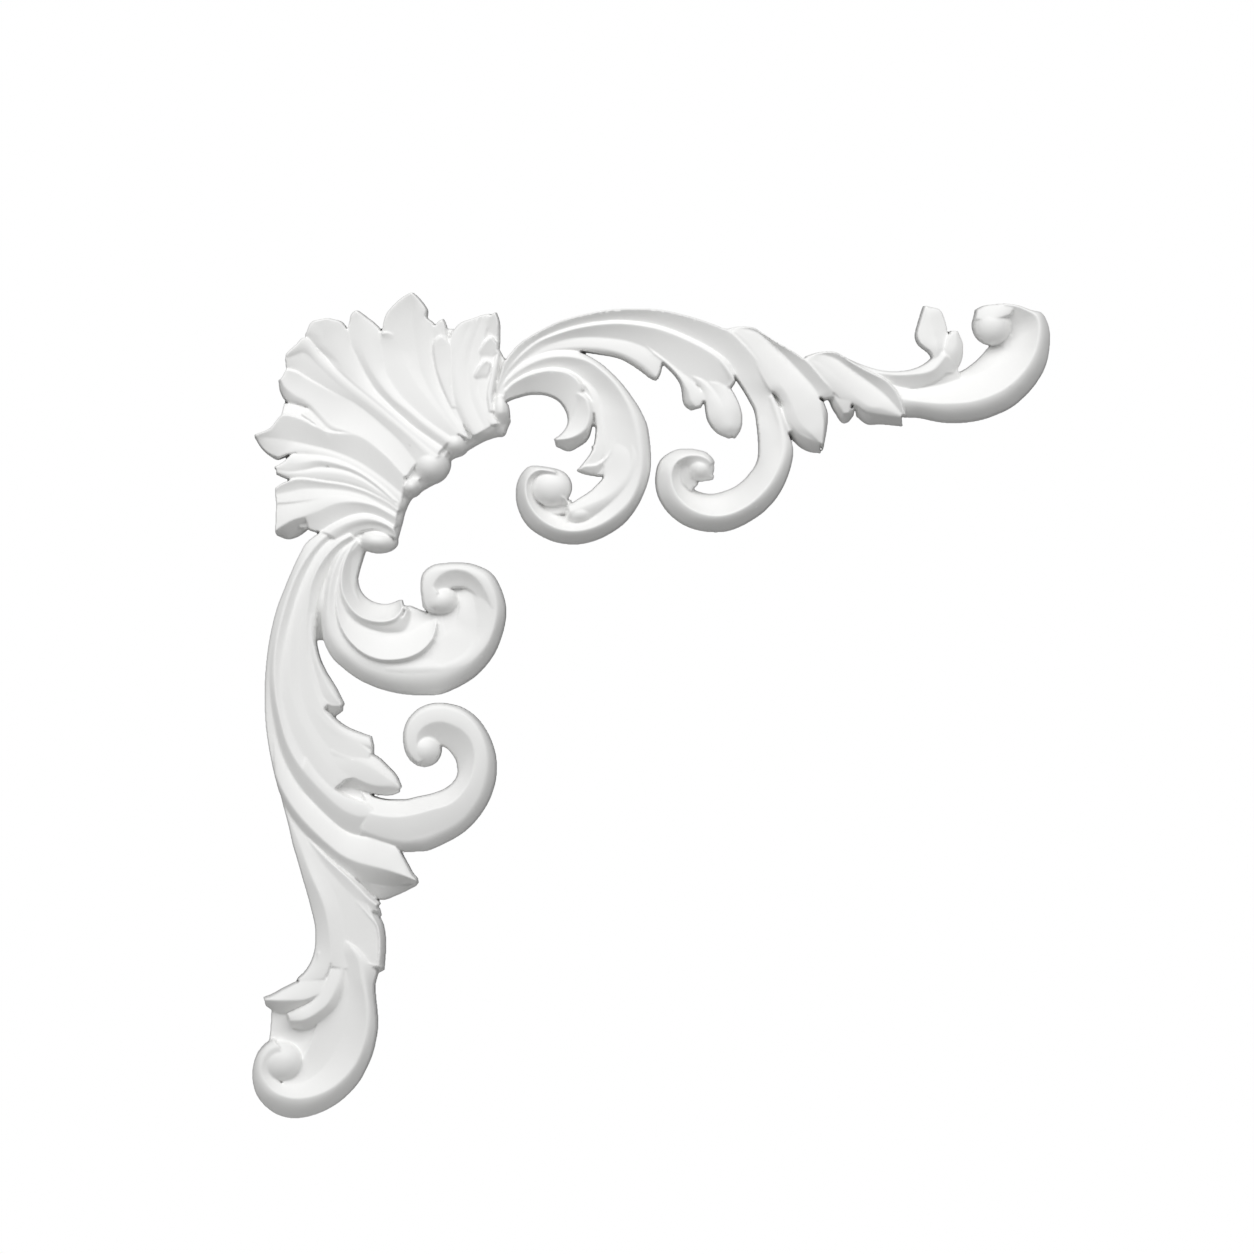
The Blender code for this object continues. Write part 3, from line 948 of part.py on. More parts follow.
def left_inner(carve):
    """The left arm's scroll beside the shell, with its curls."""
    # bed under the meeting of the bands
    carve.band(
        ([(346, 526), (346, 536), (346, 546)], (10.6, 10.6, 10.6)),
        ([(370, 526), (368, 536), (366, 546)], (10.6, 10.6, 10.6)),
        swell=0)
    pole = (445, 600)
    sweep = [(357, 541), (343, 554), (335, 570), (331, 586), (329.5, 602), (330, 618), (334, 634),
             (343, 648), (355, 659), (370, 667), (386, 671), (402, 672.5), (418, 672.5),
             (432, 671.5)]
    foot = [(360, 544), (350, 558), (343, 573), (339, 590), (338, 606), (340.5, 622), (347, 637),
            (357, 649), (369, 657.5), (382, 661.5), (397, 662), (412, 659), (425, 652), (435, 641)]
    outer = ([(356, 539), (340, 551), (331, 567), (326, 584), (323.5, 601), (322, 620),
             (323.5, 640), (331, 656), (343, 668), (358, 679), (375, 687), (392, 692), (408, 694.5),
             (426, 695)] + volute(pole, 90, [92.5, 82.5, 73.5, 66, 61.5, 56.7, 53, 45.5, 39.5, 36.5,
             36.5, 34.5, 28.5, 24, 22.8, 21, 17.5], way=-1, step=20))
    crest = (sweep + volute(pole, 90, [71, 67, 61.5, 56, 52, 49, 46, 40.5, 35.5, 32.5, 32, 30, 25,
             21.5, 20, 18.5, 15], way=-1, step=20))
    carve.band(
        (outer,
         (11, 10.8, 10.6, 10.6, 10.6, 10.6, 10, 9, 8, 7.4, 7, 7, 7, 7, 7, 6.6, 6.6, 7, 8.4, 9.4, 10,
          10.6, 11, 11, 11, 11, 10.6, 10, 9, 8, 7)),
        (crest,
         (12.4, 13.2, 13.8, 14, 14, 14, 13.8, 13.4, 13, 12.6, 12.4, 12.3, 12.3, 12.4, 12.6, 12.8,
          13, 13.2, 13.5, 13.8, 14, 14, 14, 14, 14, 14, 14, 13.8, 13.6, 13.4, 13)),
        swell=1.4)
    carve.band(
        (sweep, (12.4, 13.2, 13.8, 14, 14, 14, 13.8, 13.4, 13, 12.6, 12.4, 12.3, 12.3, 12.4)),
        (foot, (11.6, 12, 12.2, 12.4, 12.6, 12.7, 12.8, 12.9, 12.9, 12.8, 12.6, 12, 11.2, 10.4)),
        swell=0.1)
    # inside of the scroll: flute, then the dark slope under its top
    carve.band(
        (sweep[10:] + volute(pole, 90, [71, 67, 61.5, 56, 52, 49, 46], way=-1, step=20),
         (12.4, 12.3, 12.3, 12.4, 12.6, 12.8, 13, 13.2, 13.5, 13.8, 14)),
        ([(388, 666), (403, 667), (419, 666.5), (433, 665)] + volute(pole, 90, [64, 57, 47, 37, 31,
          28, 25], way=-1, step=20),
         (12.6, 12.5, 12.4, 12.3, 12.3, 12.1, 11.6, 11.2, 10.8, 10.2, 9.4)),
        ([(390, 661), (407, 659.5), (420, 654), (430, 646)] + volute(pole, 90, [34, 27, 20, 16, 14,
          13, 13], way=-1, step=20),
         (12.6, 12, 11.2, 10.6, 10.2, 9.8, 9.6, 9.2, 8.8, 8.4, 8.2)),
        swell=(0.3, -0.1))
    carve.band(
        (volute(pole, 10, [52, 49, 46, 40.5, 35.5, 32.5, 32, 30, 25, 21.5], way=-1, step=20),
         (13.4, 13.8, 14, 14, 14, 14, 14, 14, 14, 13.8)),
        (volute(pole, 10, [48, 42, 39, 36, 32, 27.5, 22.5, 18, 14, 12], way=-1, step=20),
         (13.2, 14, 14.4, 14.5, 14.5, 14.5, 14.5, 14.5, 14.5, 14.4)),
        (volute(pole, 10, [42, 31, 24, 16, 12, 10, 9, 8, 7, 6], way=-1, step=20),
         (12.2, 11.2, 10.8, 10.8, 11, 11.4, 12, 12.8, 13.6, 14)),
        swell=(0.2, -0.3))
    carve.band(
        (volute(pole, -130, [30, 25, 21.5, 20, 18.5, 15], way=-1, step=20),
         (14, 14, 13.8, 13.4, 12.6, 11)),
        (volute(pole, -130, [10, 9, 8, 8, 8, 8], way=-1, step=20),
         (14.5, 14.5, 14.5, 14.5, 14.3, 14)),
        swell=0.2)
    carve.band(
        ([(428, 652), (437, 644), (444, 634)], (10.6, 10.4, 10.2)),
        ([(420, 640), (430, 624), (440, 610)], (9.4, 9.4, 9)),
        swell=0)
    carve.band(
        ([(448, 580), (446, 598), (438, 616), (436, 636)], (8.4, 8.2, 9, 10)),
        ([(472, 586), (470, 602), (466, 618), (458, 638)], (8.4, 8.6, 9.6, 10.6)),
        swell=0)
    carve.band(
        ([(422, 606), (429, 613), (436, 620)], (8.4, 8.6, 9)),
        ([(432, 600), (439, 607), (446, 614)], (8.4, 8.4, 8.8)),
        swell=0)
    carve.dome((441, 600), 17, 14.8, 7, 14.6)
    # lobe P
    carve.band(
        (foot, (11.6, 12, 12.2, 12.4, 12.6, 12.7, 12.8, 12.9, 12.9, 12.8, 12.6, 12, 11.2, 10.4)),
        ([(359, 543), (348.5, 557), (341.5, 572), (337, 589), (336.5, 605), (339, 621),
          (345.5, 635.5), (356, 647.5), (368.5, 655.5), (382, 659.5), (397, 659.5), (411, 656.5),
          (423.5, 649.5), (434, 637)],
         (12.2, 12.8, 13.2, 13.6, 14, 14.4, 14.7, 14.9, 14.9, 14.9, 14.9, 14.7, 14.2, 13)),
        swell=0)
    carve.band(
        ([(359, 543), (348.5, 557), (341.5, 572), (337, 589), (336.5, 605), (339, 621),
          (345.5, 635.5), (356, 647.5), (368.5, 655.5), (382, 659.5), (397, 659.5), (411, 656.5),
          (423.5, 649.5), (434, 637), (437, 624)],
         (12.2, 12.8, 13.2, 13.6, 14, 14.4, 14.7, 14.9, 14.9, 14.9, 14.9, 14.7, 14.2, 13, 11.6)),
        ([(361, 545), (352, 558), (345.5, 572), (342.5, 587), (343.5, 601), (347, 613.5),
          (354, 624), (364, 631), (376, 635.5), (388, 636.5), (400, 635), (411, 631), (421, 625),
          (429, 621), (436, 617)],
         (11, 11.4, 11.6, 11.8, 12, 12, 12, 11.6, 11, 10.4, 10, 9.6, 9.2, 9, 9)),
        ([(366, 548), (362, 560), (358, 574), (356, 588), (359, 600), (364, 608), (371, 613),
          (378, 616), (386, 617), (394, 615), (401, 612), (405, 608), (408, 606), (409, 606),
          (410, 606)],
         (9, 9, 9, 9, 9, 9, 9, 9, 8.6, 8, 7.6, 7.4, 7.4, 7, 7)),
        swell=(-0.1, 0))
    # small curl
    rim = [(357, 540), (350, 550), (344.5, 563), (342, 578), (343.5, 593), (350, 606), (358, 614.5),
           (368, 619.5), (381, 621.5), (392, 619.5), (399, 614), (403, 606)]
    carve.band(
        ([(355, 541), (347, 552), (341, 565), (338.5, 580), (340, 596), (347, 610), (357, 619),
          (367, 623), (381, 625), (394, 622.5), (401.5, 616), (405, 606)],
         (11, 11.4, 11.8, 12, 12, 12, 12, 12, 11.8, 11.6, 11.2, 11)),
        (rim, (12.4, 13.4, 14, 14.3, 14.3, 14.2, 14.1, 13.9, 13.6, 13.2, 12.4, 11.6)),
        ([(364, 546), (360, 555), (357.5, 566), (357, 577), (359, 588), (364, 596), (371, 601),
          (379, 603.5), (387, 604), (394, 602), (399, 600), (402, 600)],
         (10, 9, 8.4, 7.6, 6.6, 5.6, 4.4, 3.4, 3, 3, 4, 6)),
        swell=(0.2, -0.2))
    carve.band(
        ([(340, 599), (347.5, 610.5), (357, 619.5), (368, 623.5), (381, 625.5), (394, 623),
          (403, 616), (406, 606)],
         (12.2, 12.2, 12.2, 12, 11.8, 11.6, 11.4, 11)),
        ([(340, 607), (347, 617), (356, 626), (368, 631.5), (381, 635), (396, 635.5), (408, 634),
          (410, 612)],
         (9.6, 7.6, 6.6, 8, 8.6, 8.6, 8, 8.6)),
        swell=0.5)


def left_leaves(carve):
    """The leaves low on the left arm."""
    # leaf H
    carve.band(
        ([(273, 768), (279, 792), (290, 815)], (10.4, 9.8, 9.6)),
        ([(276, 740), (288, 768), (303, 792)], (11, 11, 11)),
        swell=0.2)
    carve.band(
        ([(275.5, 778), (281, 797), (290, 815), (303, 832), (318, 847), (333, 861), (347, 872),
          (360, 880), (375, 884), (392, 886), (408, 884), (418, 883)],
         (10.4, 10, 9.8, 9.6, 9.4, 9, 8.6, 8, 7, 6, 5, 6)),
        ([(275, 772), (281, 785), (290, 801), (301, 816), (314, 830), (328, 843), (342, 854),
          (357, 861), (373, 865.5), (390, 870), (404, 875), (417, 880.5)],
         (11.6, 12.4, 12.9, 13.1, 13.2, 13.3, 13.3, 13.3, 13.2, 13, 12.6, 11.6)),
        ([(274, 735), (281, 754), (290, 773), (303, 792), (317, 807), (330, 820), (343, 830.5),
          (356, 836), (372, 838), (387, 843), (398, 849), (405, 860), (412, 873), (417, 879)],
         (11.4, 11.3, 11.2, 11, 11, 11, 10.8, 10.8, 10.8, 10.8, 10.8, 10.8, 10.8, 10.8)),
        swell=(0.4, 0.2))
    carve.band(
        ([(352, 876), (366, 882), (382, 886), (398, 886.5), (417, 883)], (8.4, 7.6, 6.6, 5.6, 6)),
        ([(360, 882), (366, 893), (381, 900.5), (398, 895), (416, 886)], (3, 2.5, 2, 2.5, 4)),
        swell=0.2)
    # leaf J and the stem down to the tail
    carve.band(
        ([(279, 790), (283, 806), (288, 825), (292.5, 845), (297, 860), (301.5, 876), (306.5, 893),
          (311, 910), (314.5, 926), (315, 943), (312.5, 957), (306, 970), (296, 980)],
         (10, 9.8, 9.6, 9.4, 9.2, 9.2, 9.2, 9.2, 9.4, 9.6, 10, 10.4, 10.6)),
        ([(281, 795), (288, 814), (296, 834), (303, 852), (309, 868), (315, 882), (321, 895),
          (326, 909), (329, 923), (331, 938), (332, 952), (330, 966), (325, 978)],
         (10.2, 10.3, 10.6, 11, 11.6, 12.2, 12.6, 12.8, 12.8, 12.7, 12.6, 12.4, 12)),
        swell=0.2)
    carve.band(
        ([(281, 795), (288, 814), (296, 834), (303, 852), (309, 868), (315, 882), (321, 895),
          (326, 909), (329, 923), (331, 938), (332, 952), (332, 966)],
         (10.2, 10.3, 10.6, 11, 11.6, 12.2, 12.6, 12.8, 12.8, 12.7, 12.6, 12.4)),
        ([(283, 796), (292, 816), (303, 836), (313, 853), (322, 868), (330, 883), (337, 898),
          (342, 912), (345, 926), (347, 940), (348, 954), (349, 968)],
         (10, 10, 10.4, 10.8, 11.2, 11.5, 11.6, 11.6, 11.6, 11.6, 11.6, 11.6)),
        ([(285, 797), (297, 820), (312, 840), (327, 856), (341, 871), (353, 885), (364, 899),
          (372, 912), (379, 926), (381.5, 940), (381.5, 953), (380, 966)],
         (9.8, 9.8, 10, 10.8, 11.4, 11.8, 12, 12.2, 12.2, 12.2, 12.2, 12)),
        swell=(-0.1, -0.1))
    carve.band(
        ([(306, 835), (319, 848), (334, 861.5), (348, 873), (361, 885), (371, 896), (380, 904)],
         (9.4, 9.4, 9.2, 9, 9.4, 10, 10.6)),
        ([(308, 838), (321, 851.5), (335, 865), (349, 877.5), (360, 888.5), (369, 898), (378, 905)],
         (10.4, 11.6, 12.4, 12.8, 12.8, 12.8, 12.2)),
        ([(314, 852), (327, 867), (340, 881), (352, 893), (361, 902), (369, 908), (377, 911)],
         (10.8, 11.2, 11.6, 11.8, 11.8, 11.6, 11)),
        swell=(0.3, -0.1))
    carve.band(
        ([(354, 898), (363, 906), (370, 910), (379, 909)], (11.8, 11.6, 11.4, 11)),
        ([(360, 908), (367, 914), (373, 918), (381, 916)], (9, 6, 4, 5)),
        swell=0.3)
    carve.band(
        ([(356, 901), (362, 907), (369, 915), (377, 925), (379.5, 940), (379, 955), (378, 966)],
         (12, 12.2, 12.6, 13, 13, 12.8, 12.4)),
        ([(366, 908), (376, 914), (382, 923), (384.5, 934), (385, 946), (384.5, 958), (383.5, 969)],
         (10, 8, 8, 8, 8, 8, 8)),
        swell=0.6)
    carve.band(
        ([(346, 943), (354, 952), (362, 959), (371, 963.5), (382, 966)],
         (11.6, 12.2, 12.4, 12.4, 12)),
        ([(355, 958), (361, 966), (368, 974), (376, 974), (384, 970)], (7, 4, 3, 3, 5)),
        swell=0.4)


def left_tail(carve):
    """The lowest curl of the left arm."""
    outer = [(368, 955), (377, 970), (374.5, 985), (375, 998), (376.5, 1012), (377, 1027),
             (375, 1041), (371.5, 1055), (366, 1068), (359, 1081), (350, 1092), (339, 1102),
             (326, 1110), (311, 1116), (295, 1118.5), (280, 1116), (267, 1108), (257, 1096),
             (252.5, 1082), (252.5, 1068), (256.5, 1055), (264, 1045), (274, 1038.5)]
    crest = [(346, 940), (353, 950), (359, 963), (362, 980), (365, 995), (366.5, 1010),
             (366.5, 1024), (364.5, 1038), (360.5, 1052), (354, 1065), (345, 1076), (334, 1085.5),
             (322, 1092), (309, 1096), (295, 1097), (282, 1094), (272, 1088), (265, 1079),
             (262, 1070), (263, 1061), (267, 1054), (273, 1049), (280, 1046)]
    inner = [(338, 945), (344, 957), (347, 972), (349, 988), (349, 1003), (347, 1018), (344, 1031),
             (339, 1043), (334, 1053), (328, 1062), (321, 1070), (314, 1076), (306, 1081),
             (298, 1084), (290, 1085), (283, 1083), (278, 1080), (275, 1076), (274, 1071),
             (275, 1067), (278, 1063), (282, 1061), (286, 1060)]
    carve.band(
        (outer,
         (10, 10, 10, 10, 10, 9.8, 9.4, 8.8, 8, 7.4, 7, 6.8, 6.8, 6.8, 7, 7.2, 7.8, 8.8, 9.6, 10,
          10.4, 10.6, 10.6)),
        (crest,
         (11.8, 12.8, 13.2, 13.4, 13.4, 13.4, 13.4, 13.4, 13.4, 13.4, 13.4, 13.4, 13.4, 13.4, 13.4,
          13.4, 13.3, 13.2, 13.1, 13.1, 13.1, 13.1, 13)),
        (inner,
         (11.8, 11.6, 11.2, 10.9, 10.7, 10.5, 10.3, 10.1, 10, 9.9, 9.8, 9.7, 9.6, 9.6, 9.8, 10,
          10.4, 10.8, 11.4, 12, 12.4, 12.6, 12.6)),
        swell=(1.3, -0.2))
    carve.band(
        (inner[2:16], (11.2, 10.9, 10.7, 10.5, 10.3, 10.1, 10, 9.9, 9.8, 9.7, 9.6, 9.6, 9.8, 10)),
        ([(334, 980), (330, 996), (326, 1008), (320, 1019), (315, 1029), (312, 1037), (309, 1045),
          (306, 1052), (303, 1058), (299, 1063), (295, 1067), (290, 1070), (285, 1072),
          (280, 1073)],
         (10.8, 10.2, 9.8, 9.4, 9, 8.8, 8.6, 8.4, 8.2, 8, 8, 8, 8.4, 9)),
        swell=-0.2)
    carve.dome((280, 1061), 22, 20, 7, 13.6)
    # leaf K
    carve.band(
        ([(318, 952), (316, 978), (302, 1008)], (11.2, 11, 8)),
        ([(352, 952), (352, 988), (330, 1022)], (11.2, 11, 9)),
        swell=0)
    carve.band(
        ([(320, 970), (306, 978), (293, 983.5), (282, 989), (271, 995), (262.5, 998)],
         (11, 11, 10.8, 10.6, 10.4, 10.2)),
        ([(331, 984), (319, 993), (305, 998.5), (291, 999.5), (277, 999.5), (264, 999)],
         (11.4, 12.4, 12.7, 12.5, 12, 11)),
        ([(328, 998), (315, 1005), (303, 1010), (291, 1014.5), (279, 1015), (265, 1006)],
         (9, 7.4, 6.4, 5.4, 5, 6)),
        swell=(0.3, 0.5))
    carve.band(
        ([(333, 962), (328, 978), (321, 992), (311, 1002), (298, 1009), (287.5, 1014)],
         (11.3, 11.9, 12.2, 12, 11.6, 10.8)),
        ([(340, 964), (337, 984), (329, 1001), (317, 1012), (303, 1019), (289, 1020)],
         (11.3, 12.7, 13.4, 13.4, 13, 11.4)),
        ([(346, 966), (346, 990), (340, 1008), (328, 1022), (311, 1032), (292, 1028)],
         (11.4, 9.4, 7.6, 6, 5, 6)),
        swell=(0.2, 0.7))
    carve.band(
        ([(271, 1008), (286, 1014), (304, 1022), (322, 1018)], (6, 6, 7, 8.6)),
        ([(270, 1030), (284, 1036), (300, 1042), (316, 1036)], (6, 6, 6.6, 8.6)),
        ([(268, 1046), (282, 1054), (298, 1064), (314, 1060)], (7, 7, 7.4, 8.4)),
        swell=0)


def all_bands(carve):
    shell(carve)
    top_main(carve)
    top_inner(carve)
    top_leaves(carve)
    top_tail(carve)
    left_main(carve)
    left_second(carve)
    left_inner(carve)
    left_leaves(carve)
    left_tail(carve)


def main():
    for old in list(bpy.data.objects):
        bpy.data.objects.remove(old)
    home = bpy.data.collections.new("corner applique")
    tools = bpy.data.collections.new("cutters")
    for group in (home, tools):
        bpy.context.scene.collection.children.link(group)

    carve = Carving()
    all_bands(carve)
    shape = bpy.data.meshes.new("corner_applique")
    carve.mesh.to_mesh(shape)
    carve.mesh.free()
    casting = bpy.data.objects.new("corner_applique", shape)
    home.objects.link(casting)
    shape.materials.append(white_finish())

    cutter = back_cutter(tools)
    fuse = casting.modifiers.new("fuse the bands", "REMESH")
    fuse.mode = "VOXEL"
    fuse.voxel_size = FUSE_CELL
    soften = casting.modifiers.new("soften the arrises", "SMOOTH")
    soften.factor = 0.5
    soften.iterations = 1
    thin = casting.modifiers.new("thin the faces", "DECIMATE")
    thin.ratio = min(1.0, FACES_WANTED / triangles_now(casting, thin))
    flat = casting.modifiers.new("flat back", "BOOLEAN")
    flat.operation = "DIFFERENCE"
    flat.solver = "EXACT"
    flat.object = cutter


def triangles_now(obj, thin):
    """Triangles that reach the thinning modifier."""
    thin.show_viewport = False
    bpy.context.view_layer.update()
    mesh = obj.evaluated_get(bpy.context.evaluated_depsgraph_get()).to_mesh()
    mesh.calc_loop_triangles()
    count = len(mesh.loop_triangles)
    thin.show_viewport = True
    return count


def back_cutter(tools):
    """A block whose front face is the back plane of the applique."""
    bpy.ops.mesh.primitive_cube_add(size=1.0)
    cutter = bpy.context.active_object
    cutter.name = "back_cutter"
    depth = 4 * CUT_DEPTH
    cutter.dimensions = (SPAN_ACROSS + 2 * CUT_MARGIN, depth, SPAN_DOWN + 2 * CUT_MARGIN)
    left = (BOARD_CORNER[0] - BOARD_ORIGIN[0]) * UNIT_X
    top = (BOARD_ORIGIN[1] - BOARD_CORNER[1]) * UNIT_Z
    cutter.location = (left + SPAN_ACROSS / 2, depth / 2, top - SPAN_DOWN / 2)
    for group in list(cutter.users_collection):
        group.objects.unlink(cutter)
    tools.objects.link(cutter)
    cutter.hide_render = True
    cutter.display_type = "WIRE"
    return cutter


def white_finish():
    """Smooth white primer, satin."""
    finish = bpy.data.materials.new("white primer")
    finish.use_nodes = True
    shader = finish.node_tree.nodes["Principled BSDF"]
    shader.inputs["Base Color"].default_value = (0.89, 0.88, 0.87, 1.0)
    shader.inputs["Roughness"].default_value = 0.45
    shader.inputs["Metallic"].default_value = 0.0
    return finish


main()
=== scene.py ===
"""Looks of the corner applique: the casting with its fine relief, white primer, floor, light and camera.

The relief is drawn on a board measured in units, x to the right and y down, with heights in millimetres
over the flat back. The board lies in the plane Y = 0 with its origin behind the middle of the shell.
"""

import math

import bpy
import numpy as np
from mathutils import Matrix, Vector


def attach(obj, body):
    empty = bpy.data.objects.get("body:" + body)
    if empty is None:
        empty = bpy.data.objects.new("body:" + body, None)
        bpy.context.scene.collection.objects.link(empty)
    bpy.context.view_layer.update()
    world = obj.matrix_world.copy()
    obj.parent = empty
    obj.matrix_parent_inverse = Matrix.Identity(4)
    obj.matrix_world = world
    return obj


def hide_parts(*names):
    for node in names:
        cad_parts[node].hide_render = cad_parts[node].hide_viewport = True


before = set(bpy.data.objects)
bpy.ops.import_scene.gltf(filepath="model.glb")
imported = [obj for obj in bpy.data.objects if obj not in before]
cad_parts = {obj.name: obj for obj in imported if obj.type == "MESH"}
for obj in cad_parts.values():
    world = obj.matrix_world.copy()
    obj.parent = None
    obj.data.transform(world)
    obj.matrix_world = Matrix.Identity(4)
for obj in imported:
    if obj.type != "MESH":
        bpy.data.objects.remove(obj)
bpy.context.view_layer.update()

# Sizes in metres, as on the CAD part
UNIT_X = 0.2995 / 798.5     # one board unit across
UNIT_Z = 0.3105 / 827.0     # one board unit down
UNIT_H = 0.001              # one height unit
ORIGIN_X = 372.0            # board place of the origin
ORIGIN_Y = 418.0

# The board's field of heights
FIELD_LEFT = 240.0
FIELD_TOP = 280.0
FIELD_RIGHT = 1064.0
FIELD_BOTTOM = 1132.0
FINE_CELL = 0.5             # board units between the heights that the tools leave
OFF_BOARD = -5.0            # height where nothing is carved
SANDED = 1.1                # cells over which sanding rounds the arrises
MOST_FACES = 190000
FACES_BACK = 0.9            # share of its normal with which a face belongs to the flat back

PHOTO_SIDE = 1254.0         # the picture's side in board units
CAMERA_DISTANCE = 3.0
SENSOR = 36.0

# fine orange peel of the sprayed primer, in metres
PEEL_SIZE = 0.0016
PEEL_DEPTH = 0.00006
# the soft box above the viewer's head: its direction, distance, sides in metres, and watts
KEY_FROM = (-0.04, -0.78, 0.62)
KEY_AWAY = 1.6
KEY_WIDTH = 3.6
KEY_HEIGHT = 1.0
KEY = 43.0
# light from the white room itself
FILL = 0.11
# the middle of the view, and the relief's mean height, on which the view's scale is set
VIEW_X = (PHOTO_SIDE / 2 - ORIGIN_X) * UNIT_X
VIEW_Z = (ORIGIN_Y - PHOTO_SIDE / 2) * UNIT_Z
MID_RELIEF = 0.008


def smooth_curve(points, count):
    """Count places, evenly spaced, on a smooth curve through the points."""
    p = np.asarray(points, float)
    p = np.vstack([2 * p[0] - p[1], p, 2 * p[-1] - p[-2]])
    t = np.linspace(0, 1, 24, endpoint=False)[:, None]
    runs = []
    for a, b, c, d in zip(p, p[1:], p[2:], p[3:]):
        runs.append(0.5 * (2 * b + (c - a) * t + (2 * a - 5 * b + 4 * c - d) * t ** 2
                           + (3 * b - a - 3 * c + d) * t ** 3))
    q = np.vstack(runs + [p[-2:-1]])
    walk = np.concatenate([[0], np.cumsum(np.linalg.norm(np.diff(q[:, :2], axis=0), axis=1))])
    places = np.linspace(0, walk[-1], count)
    return np.stack([np.interp(places, walk, column) for column in q.T], 1)


def smooth_levels(values, count):
    """A smooth run of heights through the values, given evenly along a rail."""
    v = np.atleast_1d(np.asarray(values, float))
    if len(v) < 3:
        return np.linspace(v[0], v[-1], count)
    v = np.concatenate([[2 * v[0] - v[1]], v, [2 * v[-1] - v[-2]]])
    t = np.linspace(0, len(v) - 3, count)
    i = np.minimum(t.astype(int), len(v) - 4)
    f = t - i
    a, b, c, d = v[i], v[i + 1], v[i + 2], v[i + 3]
    return 0.5 * (2 * b + (c - a) * f + (2 * a - 5 * b + 4 * c - d) * f ** 2
                  + (3 * b - a - 3 * c + d) * f ** 3)


def smooth_rail(points, heights, count):
    """Places and heights along a rail; heights go with the points, or evenly where their numbers differ."""
    if np.ndim(heights) and len(heights) == len(points):
        run = smooth_curve(np.column_stack([points, heights]), count)
        return run[:, :2], run[:, 2]
    return smooth_curve(points, count), smooth_levels(heights, count)


def volute(pole, start, radii, way=1, step=90.0):
    """Places on a scroll round its pole, one radius every step degrees; 90 degrees is down the board."""
    angles = [math.radians(start + way * step * i) for i in range(len(radii))]
    return [(pole[0] + r * math.cos(a), pole[1] + r * math.sin(a)) for r, a in zip(radii, angles)]


class Board:
    """The field of heights that the bands and bosses are laid on; the highest wins."""

    def __init__(self):
        self.columns = int((FIELD_RIGHT - FIELD_LEFT) / FINE_CELL) + 1
        self.rows = int((FIELD_BOTTOM - FIELD_TOP) / FINE_CELL) + 1
        self.heights = np.full(self.columns * self.rows, OFF_BOARD)

    def lay(self, x, y, h):
        column = np.rint((x - FIELD_LEFT) / FINE_CELL).astype(int).ravel()
        row = np.rint((y - FIELD_TOP) / FINE_CELL).astype(int).ravel()
        inside = (column >= 0) & (column < self.columns) & (row >= 0) & (row < self.rows)
        np.maximum.at(self.heights, (row * self.columns + column)[inside], h.ravel()[inside])

    def band(self, *rails, swell=0.0):
        """A strip of carving across the rails, each (points, heights); swell raises or hollows each strip."""
        swells = swell if isinstance(swell, tuple) else (swell,) * (len(rails) - 1)
        longest = max(np.linalg.norm(np.diff(np.asarray(p, float), axis=0), axis=1).sum() for p, _ in rails)
        count = max(8, int(longest / FINE_CELL * 1.9))
        lines = [smooth_rail(p, h, count) for p, h in rails]
        for (one, low), (two, high), bulge in zip(lines, lines[1:], swells):
            gap = np.linalg.norm(two - one, axis=1)
            u = np.linspace(0, 1, max(3, int(gap.max() / FINE_CELL * 1.7) + 2))
            rise = bulge * np.sqrt(gap / max(gap.max(), 1e-6))
            spot = one[:, None] * (1 - u)[None, :, None] + two[:, None] * u[None, :, None]
            h = low[:, None] * (1 - u) + high[:, None] * u + rise[:, None] * 4 * u * (1 - u)
            self.lay(spot[..., 0], spot[..., 1], h)

    def boss(self, centre, across, along, base, top, tilt=0.0):
        """A rounded boss: half-widths in board units, base and top heights."""
        r, a = np.meshgrid(np.linspace(0, 1, 90), np.linspace(0, 2 * math.pi, 300))
        c, s = math.cos(math.radians(tilt)), math.sin(math.radians(tilt))
        x, y = r * np.cos(a) * across, r * np.sin(a) * along
        heights = base + (top - base) * np.sqrt(1 - r ** 2)
        self.lay(centre[0] + c * x - s * y, centre[1] + s * x + c * y, heights)

    def grid(self):
        return self.heights.reshape(self.rows, self.columns)


def filled(grid):
    """The grid with single missed cells filled from their neighbours."""
    edged = np.pad(grid, 1, mode="edge")
    rows, columns = grid.shape
    near = [edged[j:j + rows, i:i + columns] for j in range(3) for i in range(3)]
    return np.maximum(grid, np.median(np.stack(near), axis=0))


def sanded(grid, cells):
    """The grid rounded over by that many cells."""
    reach = int(3 * cells + 1)
    weights = np.exp(-np.arange(-reach, reach + 1) ** 2 / (2 * cells ** 2))
    weights /= weights.sum()
    for axis in (0, 1):
        pad = [(reach, reach) if a == axis else (0, 0) for a in (0, 1)]
        edged = np.pad(grid, pad, mode="edge")
        size = grid.shape[axis]
        grid = sum(w * np.take(edged, range(k, k + size), axis=axis) for k, w in enumerate(weights))
    return grid


